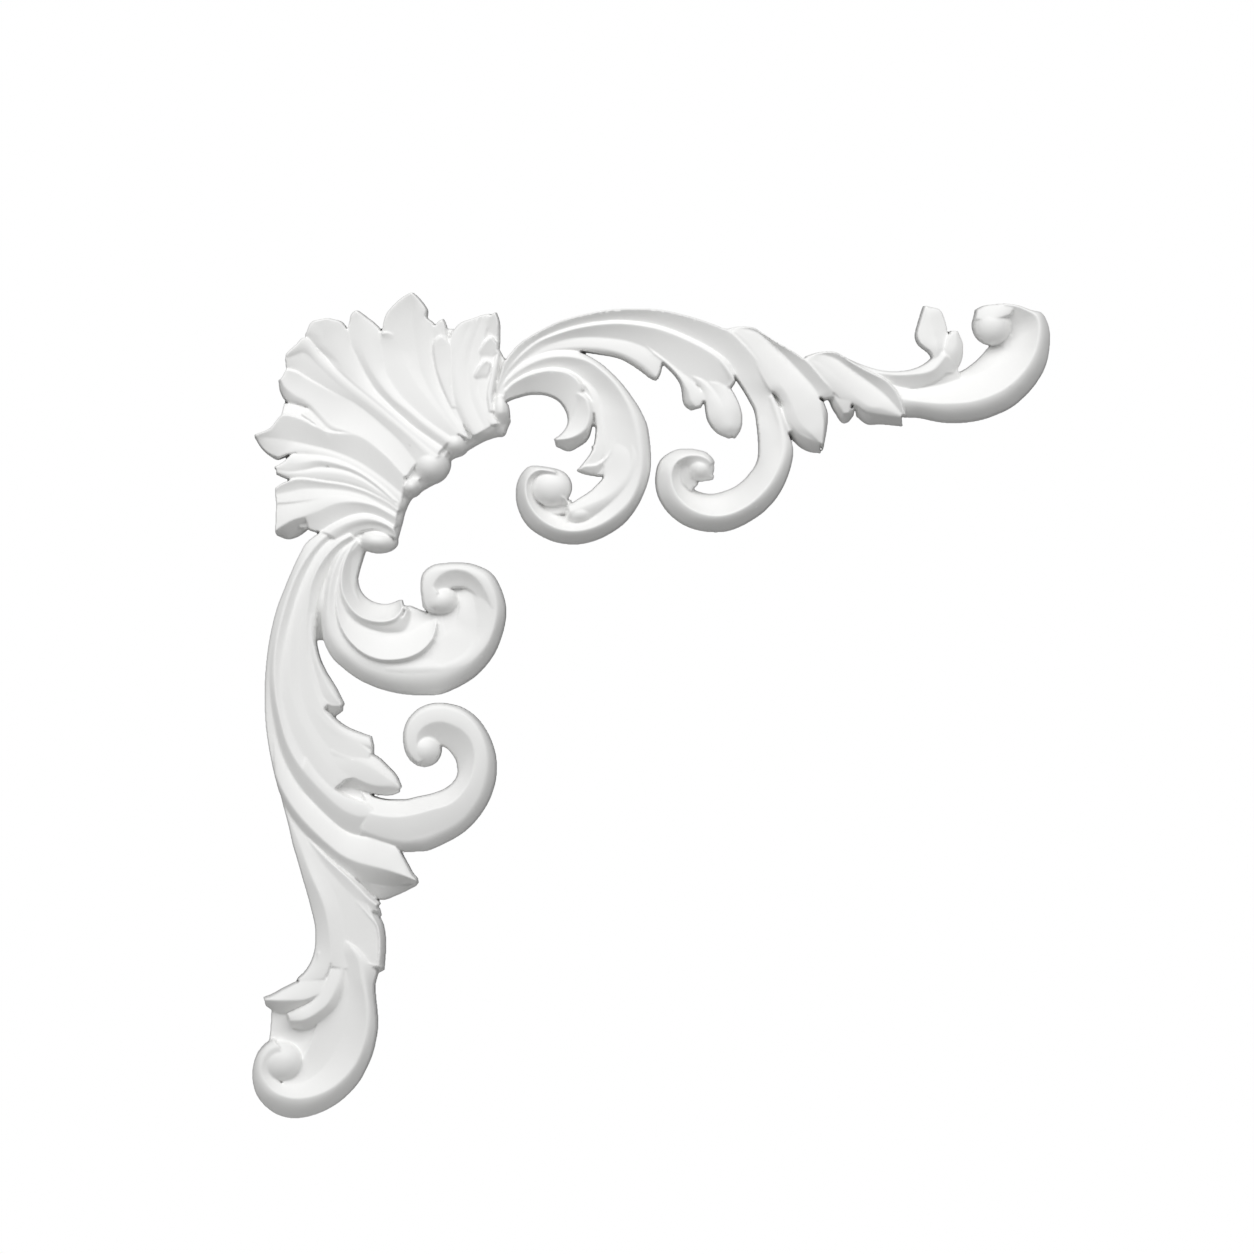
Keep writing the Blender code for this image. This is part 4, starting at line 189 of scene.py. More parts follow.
# Valleys and crests of the shell, tip first
V3 = [(286, 370), (296, 372), (306, 378), (320, 386), (340, 397), (355, 404), (370, 415),
      (385, 428), (400, 443), (416, 464)]
V1 = [(306, 338), (312, 343), (322, 355), (333, 367), (350, 382), (370, 398), (390, 415),
      (410, 433), (438, 456)]
V2 = [(347, 330), (350, 345), (356, 357), (365, 374), (375, 390), (386, 402), (400, 416),
      (417, 430), (444, 448)]
FAN = (488, 510)
NOSE = [(393, 535), (396, 520), (400, 505), (405, 493), (412, 486), (421, 479), (432, 474),
        (441, 467), (445, 458), (450, 451), (461, 446), (471, 440), (481, 435), (490, 431),
        (499, 427), (503, 414)]
LIP = [(396, 538), (399.5, 524), (403, 509), (409, 497), (417, 490), (427, 484), (438, 478),
       (446, 470), (449, 460), (454, 455), (464, 449.5), (474.5, 443.5), (484.5, 438.5),
       (493.5, 434.5), (503, 431), (507, 414)]
FOOT = [(397, 540), (401, 526), (405, 511), (411, 499), (420, 492), (430, 486), (441, 480),
        (448, 471), (450, 461), (456, 457), (466, 451), (476, 445), (486, 440), (495, 437),
        (505, 434), (509, 414)]


def risen(points, heights, lift=2.6):
    """Heights of a rib's rail: the ribs rise towards the base of the fan."""
    p = np.asarray(points, float)
    h = np.asarray(heights, float)
    if h.ndim == 0 or len(h) != len(p):
        h = smooth_levels(heights, len(p))
    r = np.hypot(p[:, 0] - FAN[0], p[:, 1] - FAN[1])
    t = np.clip((185 - r) / 95, 0, 1)
    return h + lift * t * t * (3 - 2 * t) * 0.5 + lift * t * 0.5


def rib(board, *rails, swell=0.0):
    """A band whose rails rise towards the base of the fan."""
    board.band(*[(p, tuple(risen(p, h))) for p, h in rails], swell=swell)


def shell(board):
    """The fan of ribs with its notched tips and rounded base."""
    # rounded ends of the ribs
    board.band((FOOT, 7), (LIP, 9.6), (NOSE, 12), swell=(0.2, 0.2))
    # bed
    board.band(
        (NOSE, 13),
        ([(300, 528), (290, 470), (300, 400), (350, 345), (420, 330), (494, 330)], 9.5),
        swell=-1)
    # rib 1 from the left tip
    rib(
        board,
        ([(254, 435), (270, 428), (282, 415.5), (300, 418.5), (325, 431), (345, 434), (362, 438),
          (385, 455), (405, 476)],
         (12.5, 13, 13.5, 13.3, 13.0, 12.8, 12.8, 13.0, 13.2)),
        ([(256, 438), (268, 438), (285, 440), (308, 445), (335, 452), (360, 463), (385, 480),
          (403, 495)],
         (11.6, 11.4, 11.2, 10.9, 10.7, 10.7, 11, 11.6)),
        ([(255, 438), (264, 451), (278, 458), (288, 455), (297, 453), (312, 454), (335, 459),
          (360, 471), (385, 489), (402, 503)],
         (10.5, 10, 10.4, 11.3, 11.5, 11.4, 11.2, 11.2, 11.4, 12)),
        swell=(0.0, 0.3))
    rib(
        board,
        ([(256, 438), (268, 441), (282, 449), (290, 454)], (11.6, 11.2, 11, 11.3)),
        ([(254, 437), (262, 449), (275, 459), (284, 457)], (6, 5.5, 6, 8)),
        swell=0.3)
    # rib 2 from the left tip
    rib(
        board,
        (V3, (13, 12.6, 12.0, 11.6, 11.3, 11.2, 11.2, 11.3, 11.6, 12.2)),
        ([(281, 379), (286, 388), (296, 396), (306, 401), (318, 410), (332, 424), (350, 432),
          (368, 441), (388, 457), (408, 477)],
         (12.8, 12.7, 12.5, 12.2, 12, 12.2, 12.6, 12.8, 12.8, 13)),
        ([(278, 380), (280, 392), (287, 402), (300, 405), (309, 408), (319, 418), (330, 430),
          (345, 434), (365, 443), (402, 478)],
         (10.4, 10, 10, 10.6, 11.2, 11.6, 11.8, 11.9, 11.9, 12.2)),
        swell=(-0.2, 0.4))
    rib(
        board,
        ([(284, 403), (298, 406), (312, 411), (325, 422), (337, 431)], (10, 10.6, 11.2, 11.6, 11.8)),
        ([(281, 416), (291, 415.5), (303, 419.5), (322, 430.5), (336, 434.5)],
         (12.2, 12.2, 12.4, 12.4, 12.2)),
        swell=0)
    rib(
        board,
        ([(306, 412), (316, 420), (328, 431)], (11.8, 12, 12)),
        ([(302, 415), (312, 422), (325, 432)], (12.9, 12.9, 12.9)),
        swell=0)
    # rib 3 from the left tip
    rib(
        board,
        (V3, (12, 11.6, 11.3, 11.2, 11.1, 11.1, 11.1, 11.2, 11.4, 12)),
        ([(285, 359), (294, 356), (306, 354), (321, 368), (338, 384), (353, 396), (368, 407),
          (384, 419), (402, 433), (430, 460)],
         (13.2, 12.8, 12.5, 12.2, 12, 12, 12, 12.2, 12.6, 13.4)),
        ([(286, 354), (296, 345), (305, 338), (320, 353), (333, 367), (350, 382), (370, 398),
          (390, 415), (410, 433), (440, 457)],
         (13.8, 14, 13.6, 12, 11.9, 12, 12.2, 12.4, 12.7, 13.2)),
        swell=(0.1, 0.5))
    # rib 4 from the left tip
    rib(
        board,
        ([(323, 319), (312, 322), (307, 331), (306, 338), (322, 354), (334, 367), (350, 382),
          (370, 398), (390, 415), (410, 433), (438, 456)],
         (14.4, 14.2, 13.6, 12.4, 11, 11.7, 12, 12.2, 12.4, 12.7, 13.2)),
        ([(326, 318.5), (322, 328), (326, 342), (338, 360), (352, 378), (368, 393), (386, 408),
          (405, 424), (440, 453)],
         (14.6, 13.9, 13.1, 12.6, 12.4, 12.4, 12.5, 12.6, 13.2)),
        ([(329, 318.5), (341, 322), (347, 331), (350, 345), (356, 357), (365, 374), (375, 390),
          (386, 402), (400, 416), (417, 430), (444, 448)],
         (14.4, 13.8, 13, 12.4, 11.8, 11.4, 11.2, 11.1, 11.1, 11.3, 12)),
        swell=(0.2, 0.4))
    # rib 5 from the left tip
    rib(
        board,
        ([(355, 311), (351, 315), (349, 323), (347, 333), (350, 345), (356, 357), (365, 374),
          (375, 390), (386, 402), (400, 416), (417, 430), (444, 448)],
         (13.6, 13.4, 12.8, 12.2, 11.8, 11.4, 11.1, 11, 11, 11, 11.3, 12)),
        ([(356.5, 310.5), (357, 322), (359, 338), (365, 356), (373, 373), (384, 389), (395, 401),
          (409, 412), (425, 426), (448, 443)],
         (14, 13.4, 12.9, 12.7, 12.7, 12.7, 12.7, 12.8, 12.9, 13.2)),
        ([(358, 311), (366, 317), (375, 324), (381, 332), (381.5, 345), (383, 358), (385, 370),
          (391, 383), (401, 397), (414, 410), (431, 424), (456, 441)],
         (13.8, 13, 12.4, 12, 11.8, 11.7, 11.6, 11.6, 11.8, 12, 12.2, 12.6)),
        swell=(0.1, 0.5))
    # rib 6 from the left tip
    rib(
        board,
        ([(410, 293.5), (402, 298), (391, 308), (385, 317), (382, 331), (381.5, 345), (383, 358),
          (385, 370), (391, 383), (401, 397), (414, 410), (431, 424), (456, 441)],
         (15.6, 15.1, 14.5, 13.8, 12.9, 11.9, 11.7, 11.6, 11.6, 11.8, 12, 12.2, 12.6)),
        ([(411, 293), (403, 306), (396, 322), (396, 338), (401, 352), (407, 367), (416, 383),
          (427, 398), (440, 414), (458, 434)],
         (15.8, 14.5, 13.4, 12.7, 12.3, 12.3, 12.4, 12.5, 12.6, 13)),
        ([(412, 293), (413, 310), (414, 330), (417, 350), (421, 370), (428, 386), (437, 402),
          (448, 418), (462, 436)],
         (15.8, 14, 12.9, 12.3, 12.0, 12.0, 12.2, 12.5, 13)),
        ([(413, 293), (421, 301), (427, 310), (427, 318), (434, 325), (434, 340), (433, 357),
          (436, 372), (440, 386), (446, 400), (453, 413), (461, 426), (469, 440)],
         (15.6, 14.8, 14.2, 13.6, 13.1, 12.6, 12.1, 11.7, 11.5, 11.5, 11.6, 11.9, 12.4)),
        swell=(0.1, 0.0, 0.5))
    rib(
        board,
        ([(424, 318), (430, 322), (434, 327)], (13.9, 13.6, 13.3)),
        ([(418, 322), (424, 330), (429, 338)], (12.9, 12.7, 12.5)),
        swell=0)
    rib(
        board,
        ([(383, 334), (387, 333), (393, 335)], (13.4, 13.4, 13)),
        ([(384, 341), (389, 350), (396, 357)], (12, 11.6, 11.8)),
        swell=-0.2)
    # rib 7 from the left tip
    rib(
        board,
        ([(442, 319.5), (437, 323), (434, 330), (434, 345), (433.5, 358), (437, 374), (441, 388),
          (447, 403), (456, 419), (469, 440)],
         (13.8, 13.6, 13.2, 12.4, 11.8, 11.5, 11.4, 11.4, 11.6, 12.4)),
        ([(443, 319), (446, 326), (447, 335), (450, 344), (449, 360), (450, 378), (452, 395),
          (457, 412), (468, 436)],
         (13.8, 13.4, 12.9, 12.2, 11.8, 11.6, 11.6, 11.6, 12.2)),
        swell=0.4)
    rib(
        board,
        ([(440, 337), (435, 342), (434, 352), (436, 366), (440, 380), (446, 395), (452, 408)],
         (14.2, 13.8, 13.2, 12.6, 12.4, 12.2, 12)),
        ([(442, 337), (447, 341), (450, 349), (451, 365), (451, 380), (452, 395), (456, 408)],
         (14.2, 13.8, 13.2, 12.6, 12.4, 12.2, 12)),
        swell=0.3)
    # rib 8 from the left tip
    rib(
        board,
        ([(470, 319.5), (460, 323.5), (453, 332), (449.5, 343), (449, 360), (450, 380), (453, 400),
          (459, 415), (466, 428), (473, 437)],
         (14, 13.7, 13.3, 12.8, 12, 11.6, 11.6, 11.6, 12, 12.6)),
        ([(472, 319), (467, 332), (461, 350), (458, 370), (459, 390), (463, 408), (470, 424),
          (478, 435)],
         (14.2, 13.6, 13.2, 12.9, 12.8, 12.8, 13, 13.4)),
        ([(483, 315), (480, 325), (475, 337), (471, 350), (468, 368), (469, 385), (472, 400),
          (478, 415), (486, 430)],
         (14.2, 13.8, 13.3, 12.8, 12.4, 12.2, 12.2, 12.4, 12.8)),
        ([(490, 314), (488, 325), (485, 340), (482, 352), (479, 368), (477, 385), (481, 402),
          (491, 427)],
         (14, 13.6, 13.2, 12.8, 12.6, 12.4, 12.4, 12.6)),
        swell=(0.3, 0.2, 0.2))
    # rib 9 from the left tip, with stepped leaflets
    rib(
        board,
        ([(484, 315), (482, 330), (480, 345), (477, 360), (475, 375), (476, 392), (482, 410),
          (492, 426)],
         (13.4, 12.9, 12.6, 12.4, 12.2, 12.2, 12.4, 12.8)),
        ([(498, 318), (499.5, 335), (498.5, 350), (495, 368), (491, 385), (490, 400), (493, 415),
          (499, 425)],
         (12.6, 12.2, 12, 12.2, 12.2, 12.2, 12.4, 12.8)),
        swell=0)
    rib(
        board,
        ([(495, 312.5), (490, 317), (486, 328), (486, 336)], (15, 14.4, 13.2, 12.2)),
        ([(496, 312.5), (499, 322), (499, 332), (496, 338)], (15, 14.2, 13.2, 12.2)),
        swell=-0.2)
    rib(
        board,
        ([(491, 338), (485, 343), (480, 352), (482, 356)], (14.8, 14.3, 13.4, 12.6)),
        ([(492, 338), (497, 345), (497, 353), (492, 358)], (14.8, 14, 13, 12.2)),
        swell=-0.3)
    rib(
        board,
        ([(486, 361), (480, 367), (475, 376), (477, 379)], (14.6, 14.1, 13.4, 12.6)),
        ([(487, 361), (491, 365), (489, 374), (486, 379)], (14.6, 13.8, 13, 12.2)),
        swell=-0.3)
    rib(
        board,
        ([(499, 350), (495, 362), (491, 378), (488, 395), (490, 412)], (13, 13.2, 13.2, 13.2, 13.2)),
        ([(500, 352), (499, 365), (496, 380), (493, 397), (494, 412)],
         (12.4, 12.4, 12.4, 12.6, 12.6)),
        swell=0.2)
    board.band(
        ([(500, 352), (499, 368), (496.5, 384), (494, 400)], 10),
        ([(506, 362), (502, 373), (499, 385), (498, 398)], 10),
        swell=0)
    # low rib 1, counted downwards
    rib(
        board,
        ([(274, 467), (283, 462), (290, 456), (300, 454), (320, 455), (340, 460), (360, 471),
          (385, 489), (401, 504)],
         (12, 12, 11.8, 11.3, 11, 10.9, 10.9, 11.2, 11.8)),
        ([(275, 469), (290, 466), (305, 463), (320, 461), (340, 465), (357, 471), (374, 482),
          (394, 500)],
         (12.4, 12.4, 12.4, 12.4, 12.3, 12.2, 12.2, 12.4)),
        ([(276, 470), (290, 473), (305, 471), (320, 467), (340, 469), (357, 475), (373, 485),
          (396, 503)],
         (12, 12, 11.7, 11.4, 11.4, 11.4, 11.5, 12)),
        swell=(0.2, 0.1))
    rib(
        board,
        ([(276, 470), (290, 472), (305, 470), (320, 468), (340, 470), (357, 476), (373, 486),
          (396, 504)],
         (12, 12, 11.7, 11.4, 11.4, 11.4, 11.5, 12)),
        ([(276, 471), (288, 475), (303, 476), (320, 475), (340, 477), (360, 482), (380, 493),
          (399, 507)],
         (12.2, 12.2, 12.2, 12.1, 12, 11.9, 11.9, 12.1)),
        ([(276, 474), (288, 479), (303, 482), (320, 484), (340, 486), (362, 491), (383, 501),
          (400, 511)],
         (11.4, 11.2, 11, 10.9, 10.8, 10.9, 11.2, 11.8)),
        swell=(0.3, 0.3))
    # low rib 2, counted downwards
    rib(
        board,
        ([(275, 488), (283, 483), (292, 480), (303, 479), (325, 482), (345, 485), (365, 491),
          (385, 501), (399, 511)],
         (12.8, 13, 13, 12.8, 12.4, 12.2, 12.1, 12.1, 12.4)),
        ([(275, 495), (290, 492), (305, 489), (325, 489), (345, 491), (365, 496), (383, 506),
          (398, 514)],
         (11.8, 11.5, 11.4, 11.3, 11.3, 11.3, 11.4, 11.6)),
        ([(276, 504), (290, 503), (305, 501), (325, 498), (345, 498), (362, 502), (380, 510),
          (397, 518)],
         (12.3, 12.3, 12.3, 12.3, 12.2, 12.2, 12.2, 12.4)),
        swell=(-0.2, 0.0))
    # low rib 3, counted downwards
    rib(
        board,
        ([(276, 504), (290, 503), (305, 501), (325, 497), (345, 497), (362, 501), (380, 509),
          (397, 517)],
         (11.8, 11.8, 12, 12.2, 12.2, 12.2, 12.2, 12.4)),
        ([(275, 532), (283, 526), (294, 520), (307, 516), (318, 511), (335, 504), (355, 502),
          (375, 505), (396, 516)],
         (12.6, 12.8, 13, 13, 13, 12.9, 12.8, 12.7, 12.8)),
        ([(276, 535), (287, 539), (298, 536), (308, 528), (318, 516), (335, 506), (355, 504),
          (375, 507), (396, 518)],
         (5, 4, 4, 7, 11, 12.6, 12.6, 12.5, 12.6)),
        swell=(0.2, 0.0))
    # low rib 4, counted downwards
    rib(
        board,
        ([(306, 518), (318, 512), (335, 504), (355, 502), (375, 506), (397, 518)],
         (12.6, 13, 13, 12.8, 12.7, 12.8)),
        ([(309, 530), (320, 532), (335, 525), (350, 518), (365, 515), (380, 519), (396, 527)],
         (10.8, 10.6, 10.8, 10.8, 10.6, 10.8, 11.5)),
        swell=-0.1)
    # rib that runs on as the left arm
    rib(
        board,
        ([(322, 532), (335, 524), (350, 517), (365, 514.5), (380, 518), (395, 526)],
         (11.5, 11.6, 11.4, 11.2, 11.2, 11.5)),
        ([(328, 534), (342, 525.5), (357, 520), (370, 519), (383, 523), (395, 530)],
         (13, 13.2, 13, 12.9, 12.8, 12.8)),
        ([(335, 539), (350, 529), (362, 525), (375, 524.5), (388, 528), (397, 536)],
         (12, 12, 11.8, 11.6, 11.6, 11.8)),
        ([(342, 546), (357, 534), (368, 530), (380, 531), (397, 539)],
         (10.5, 10.8, 10.8, 10.8, 11.2)),
        swell=(0.2, 0.3, -0.1))
    # left bead
    board.boss((377.5, 541), 20, 12, 6, 15.6, 3)
    # beads of the rib ends
    board.boss((430, 464), 21, 20, 5, 17, -43)
    board.boss((411, 486), 12, 11, 5, 15.8, -48)
    board.boss((455, 443), 14, 14, 5, 16.4, -30)
    board.boss((482, 428), 20, 12, 6, 15.4, -24)
    board.boss((398, 504), 11, 9, 6, 14.6, -62)
    board.boss((394, 521), 10, 8, 6, 14.4, -75)
    board.band(
        ([(495, 402), (498, 397.5), (503, 398.5), (508, 406)], (13.8, 14.8, 14.8, 13.8)),
        ([(493, 412), (498, 413), (503, 413), (509, 412)], (14, 15.8, 15.8, 13)),
        ([(491, 429), (497, 436), (504, 434), (510, 422)], (5, 4, 4, 5)),
        swell=(0.5, 1.7))


def top_main(board):
    """The top arm's large scroll."""
    pole = (705, 468)
    # rails that neighbouring bands share
    edge = [(497, 394), (500, 378), (504, 364), (511, 353), (522, 342), (540, 331), (560, 321.5),
            (585, 314.5), (610, 310), (635, 309), (660, 310), (683, 315), (705, 321.5), (727, 331),
            (741, 343), (756, 361), (766, 380), (773, 396), (781, 412), (787, 430)]
    foot = [(498, 394), (502, 381), (508, 370), (520, 357), (533, 347), (547, 339), (563, 333),
            (586, 327.5), (610, 324.5), (632, 324.5), (651, 327.5), (671, 334), (692, 343),
            (712, 355), (727, 367), (737, 380), (748, 397), (755, 411), (758, 430)]
    board.band(
        (edge,
         (12, 13, 14, 14.6, 15, 15.4, 15.6, 15.8, 16, 16, 16, 16, 16, 16, 15.6, 15, 14.2, 12.4,
          11.6, 11.3)),
        (foot,
         (11.8, 12.2, 12.6, 12.6, 12.4, 12.2, 12, 11.9, 11.8, 11.8, 11.8, 11.8, 11.8, 11.8, 11.7,
          11.5, 11.3, 11.3, 11.3)),
        swell=-0.2)
    outer = ([(773, 396), (781, 412), (787, 430)] + volute(pole, -10, [89.5, 81.5, 75, 69.5, 66.6,
             63, 60.3, 57.3, 54.3, 50, 45, 35, 25, 19, 16, 13.5, 12, 11], step=20))
    crest = ([(768, 398), (774, 414), (779, 431)] + volute(pole, -10, [78, 68, 60, 54.5, 50.5, 46.5,
             43, 40, 37, 34, 29, 22, 16, 12, 9.5, 8, 7, 6.5], step=20))
    floor = ([(748, 397), (755, 411), (758, 430)] + volute(pole, -10, [54, 44, 36, 30, 27, 25, 24,
             23, 22, 21], step=20) + [(687, 470), (691, 468), (695, 467), (699, 467), (702, 467.5),
             (705, 468.5), (707, 470), (708.5, 472)])
    board.band(
        (outer,
         (11.8, 11.7, 11.6, 10.8, 9.4, 8.2, 7.4, 7, 7, 7, 7, 7, 7, 7.4, 8, 8.6, 9.2, 9.8, 10, 10,
          10)),
        (crest,
         (11.8, 12.3, 13, 14.2, 14.8, 14.8, 14.8, 14.6, 14.4, 14.2, 14, 14, 14, 14, 14.2, 14.6,
          14.8, 14.8, 14.6, 14.2, 13.6)),
        (floor,
         (11.3, 11.3, 11.3, 10, 7, 4, 2.5, 2, 2, 2.4, 3.4, 5, 6.4, 8, 10.4, 12.4, 13.2, 13.6, 13.6,
          13.4, 12.8)),
        swell=(1.5, -0.7))
    # ridge 1 and the dark band under it
    below = [(505, 384), (512, 373), (523, 361), (536, 352.5), (550, 345), (575, 338.5), (600, 338),
             (625, 341), (645, 348), (661, 358), (676, 371), (690, 381), (703, 388), (716, 391),
             (728, 387)]
    ridge = [(500, 390), (505, 378), (512, 367), (524, 354.5), (538, 343.5), (552, 337),
             (575, 329.5), (600, 325.2), (622, 324.3), (645, 327), (665, 332), (687, 341),
             (707, 351.5), (722, 363), (731, 376)]
    above = [(499, 388), (503, 378), (510, 366.5), (522, 353.5), (536, 342), (551, 335),
             (574, 327.5), (600, 323), (622, 322), (646, 324.5), (667, 329.5), (690, 339),
             (710, 349.5), (726, 361), (735, 375)]
    board.band(
        (above,
         (11.6, 12, 12.4, 12.8, 12.8, 12.8, 12.6, 12.5, 12.4, 12.4, 12.4, 12.4, 12.4, 12.4, 12.2)),
        (ridge,
         (11.8, 12.2, 12.8, 13.2, 13.5, 13.8, 14.2, 14.4, 14.5, 14.5, 14.5, 14.4, 14.3, 14.2, 13.8)),
        (below,
         (11.6, 11.8, 12, 12, 11.8, 11.5, 11.3, 11.2, 11.2, 11.2, 11.2, 11.2, 11.2, 11.2, 11.4)),
        swell=(0.3, -0.3))
    # hook at the end of ridge 1
    board.band(
        ([(722, 362), (731, 373), (735, 381), (731, 388)], (14.2, 13.9, 13.6, 12)),
        ([(719, 364), (726, 374), (729, 381), (727, 387)], (13.6, 13.2, 12.6, 11.6)),
        swell=0.4)
    # lobe A, its lower edge shared with ridge 2 as far as the dark hole
    board.band(
        (below[:10] + [(661, 370), (658, 378)],
         (11.6, 11.8, 12, 12, 11.8, 11.5, 11.3, 11.2, 11.2, 11.2, 11.2, 11.2)),
        ([(503, 385), (511, 374.5), (523, 363), (537, 355), (551, 349.5), (575, 347), (600, 348.5),
          (620, 353), (638, 361), (650, 370), (655, 375), (657, 378)],
         (11.4, 11.6, 11.9, 11.9, 11.8, 11.8, 11.8, 11.8, 11.8, 11.6, 11.4, 11.2)),
        ([(501, 388), (508, 377), (520, 366), (535, 357.5), (550, 352), (575, 351), (600, 354),
          (621, 358.5), (639, 369), (648, 376), (653, 379), (656, 380)],
         (11.2, 11.4, 11.6, 11.4, 11, 10.4, 9.6, 9.6, 9.6, 9.6, 9.6, 9.6)),
        swell=(0.1, 0.5))
    # lobe C1
    board.band(
        ([(645, 346), (662, 358), (678, 370), (694, 384), (704, 397), (701, 407)],
         (11.3, 11.2, 11.2, 11.4, 11.6, 11.4)),
        ([(652, 352), (667, 364), (679, 377), (688, 391), (692, 402), (697, 408)],
         (11.8, 11.8, 11.9, 12, 12, 11.4)),
        ([(657, 359), (666, 366), (674, 374), (681, 385), (684, 403), (691, 410)],
         (9.6, 9.6, 9.4, 9, 8, 7.6)),
        swell=(0.1, 0.6))
    # lobe C2
    board.band(
        ([(690, 376), (701, 389), (705, 404), (708, 420), (717, 432), (729, 438)],
         (11.3, 11.4, 11.6, 11.2, 10, 8.6)),
        ([(706, 382), (716, 394), (723, 407), (726, 418), (729, 428), (732, 437)],
         (11.5, 12, 12.6, 12.6, 12, 9)),
        ([(727, 385), (733, 392), (739, 404), (742, 416), (741, 428), (735, 438)],
         (11.2, 11, 10.6, 10, 9.4, 8)),
        swell=(0.6, 0.7))
    board.band(
        ([(674, 468), (680, 480), (690, 491)], (9, 8.4, 7)),
        ([(688, 464), (693, 474), (698, 484)], (10.6, 9.6, 8)),
        swell=0)
    board.boss((701, 468), 13, 13, 7, 14.2)
    # underside of the curled end
    board.band(
        ([(686, 473), (690, 469.5), (695, 467), (700, 467), (704, 468), (708, 471), (714, 476)],
         (8, 10.6, 13.2, 13.6, 13.4, 12.6, 9)),
        ([(689, 486), (693, 482), (696, 479.5), (700, 479), (704, 480), (708, 480), (713, 479)],
         (7, 7.6, 8.6, 8.8, 8.8, 8.8, 9)),
        swell=0.7)


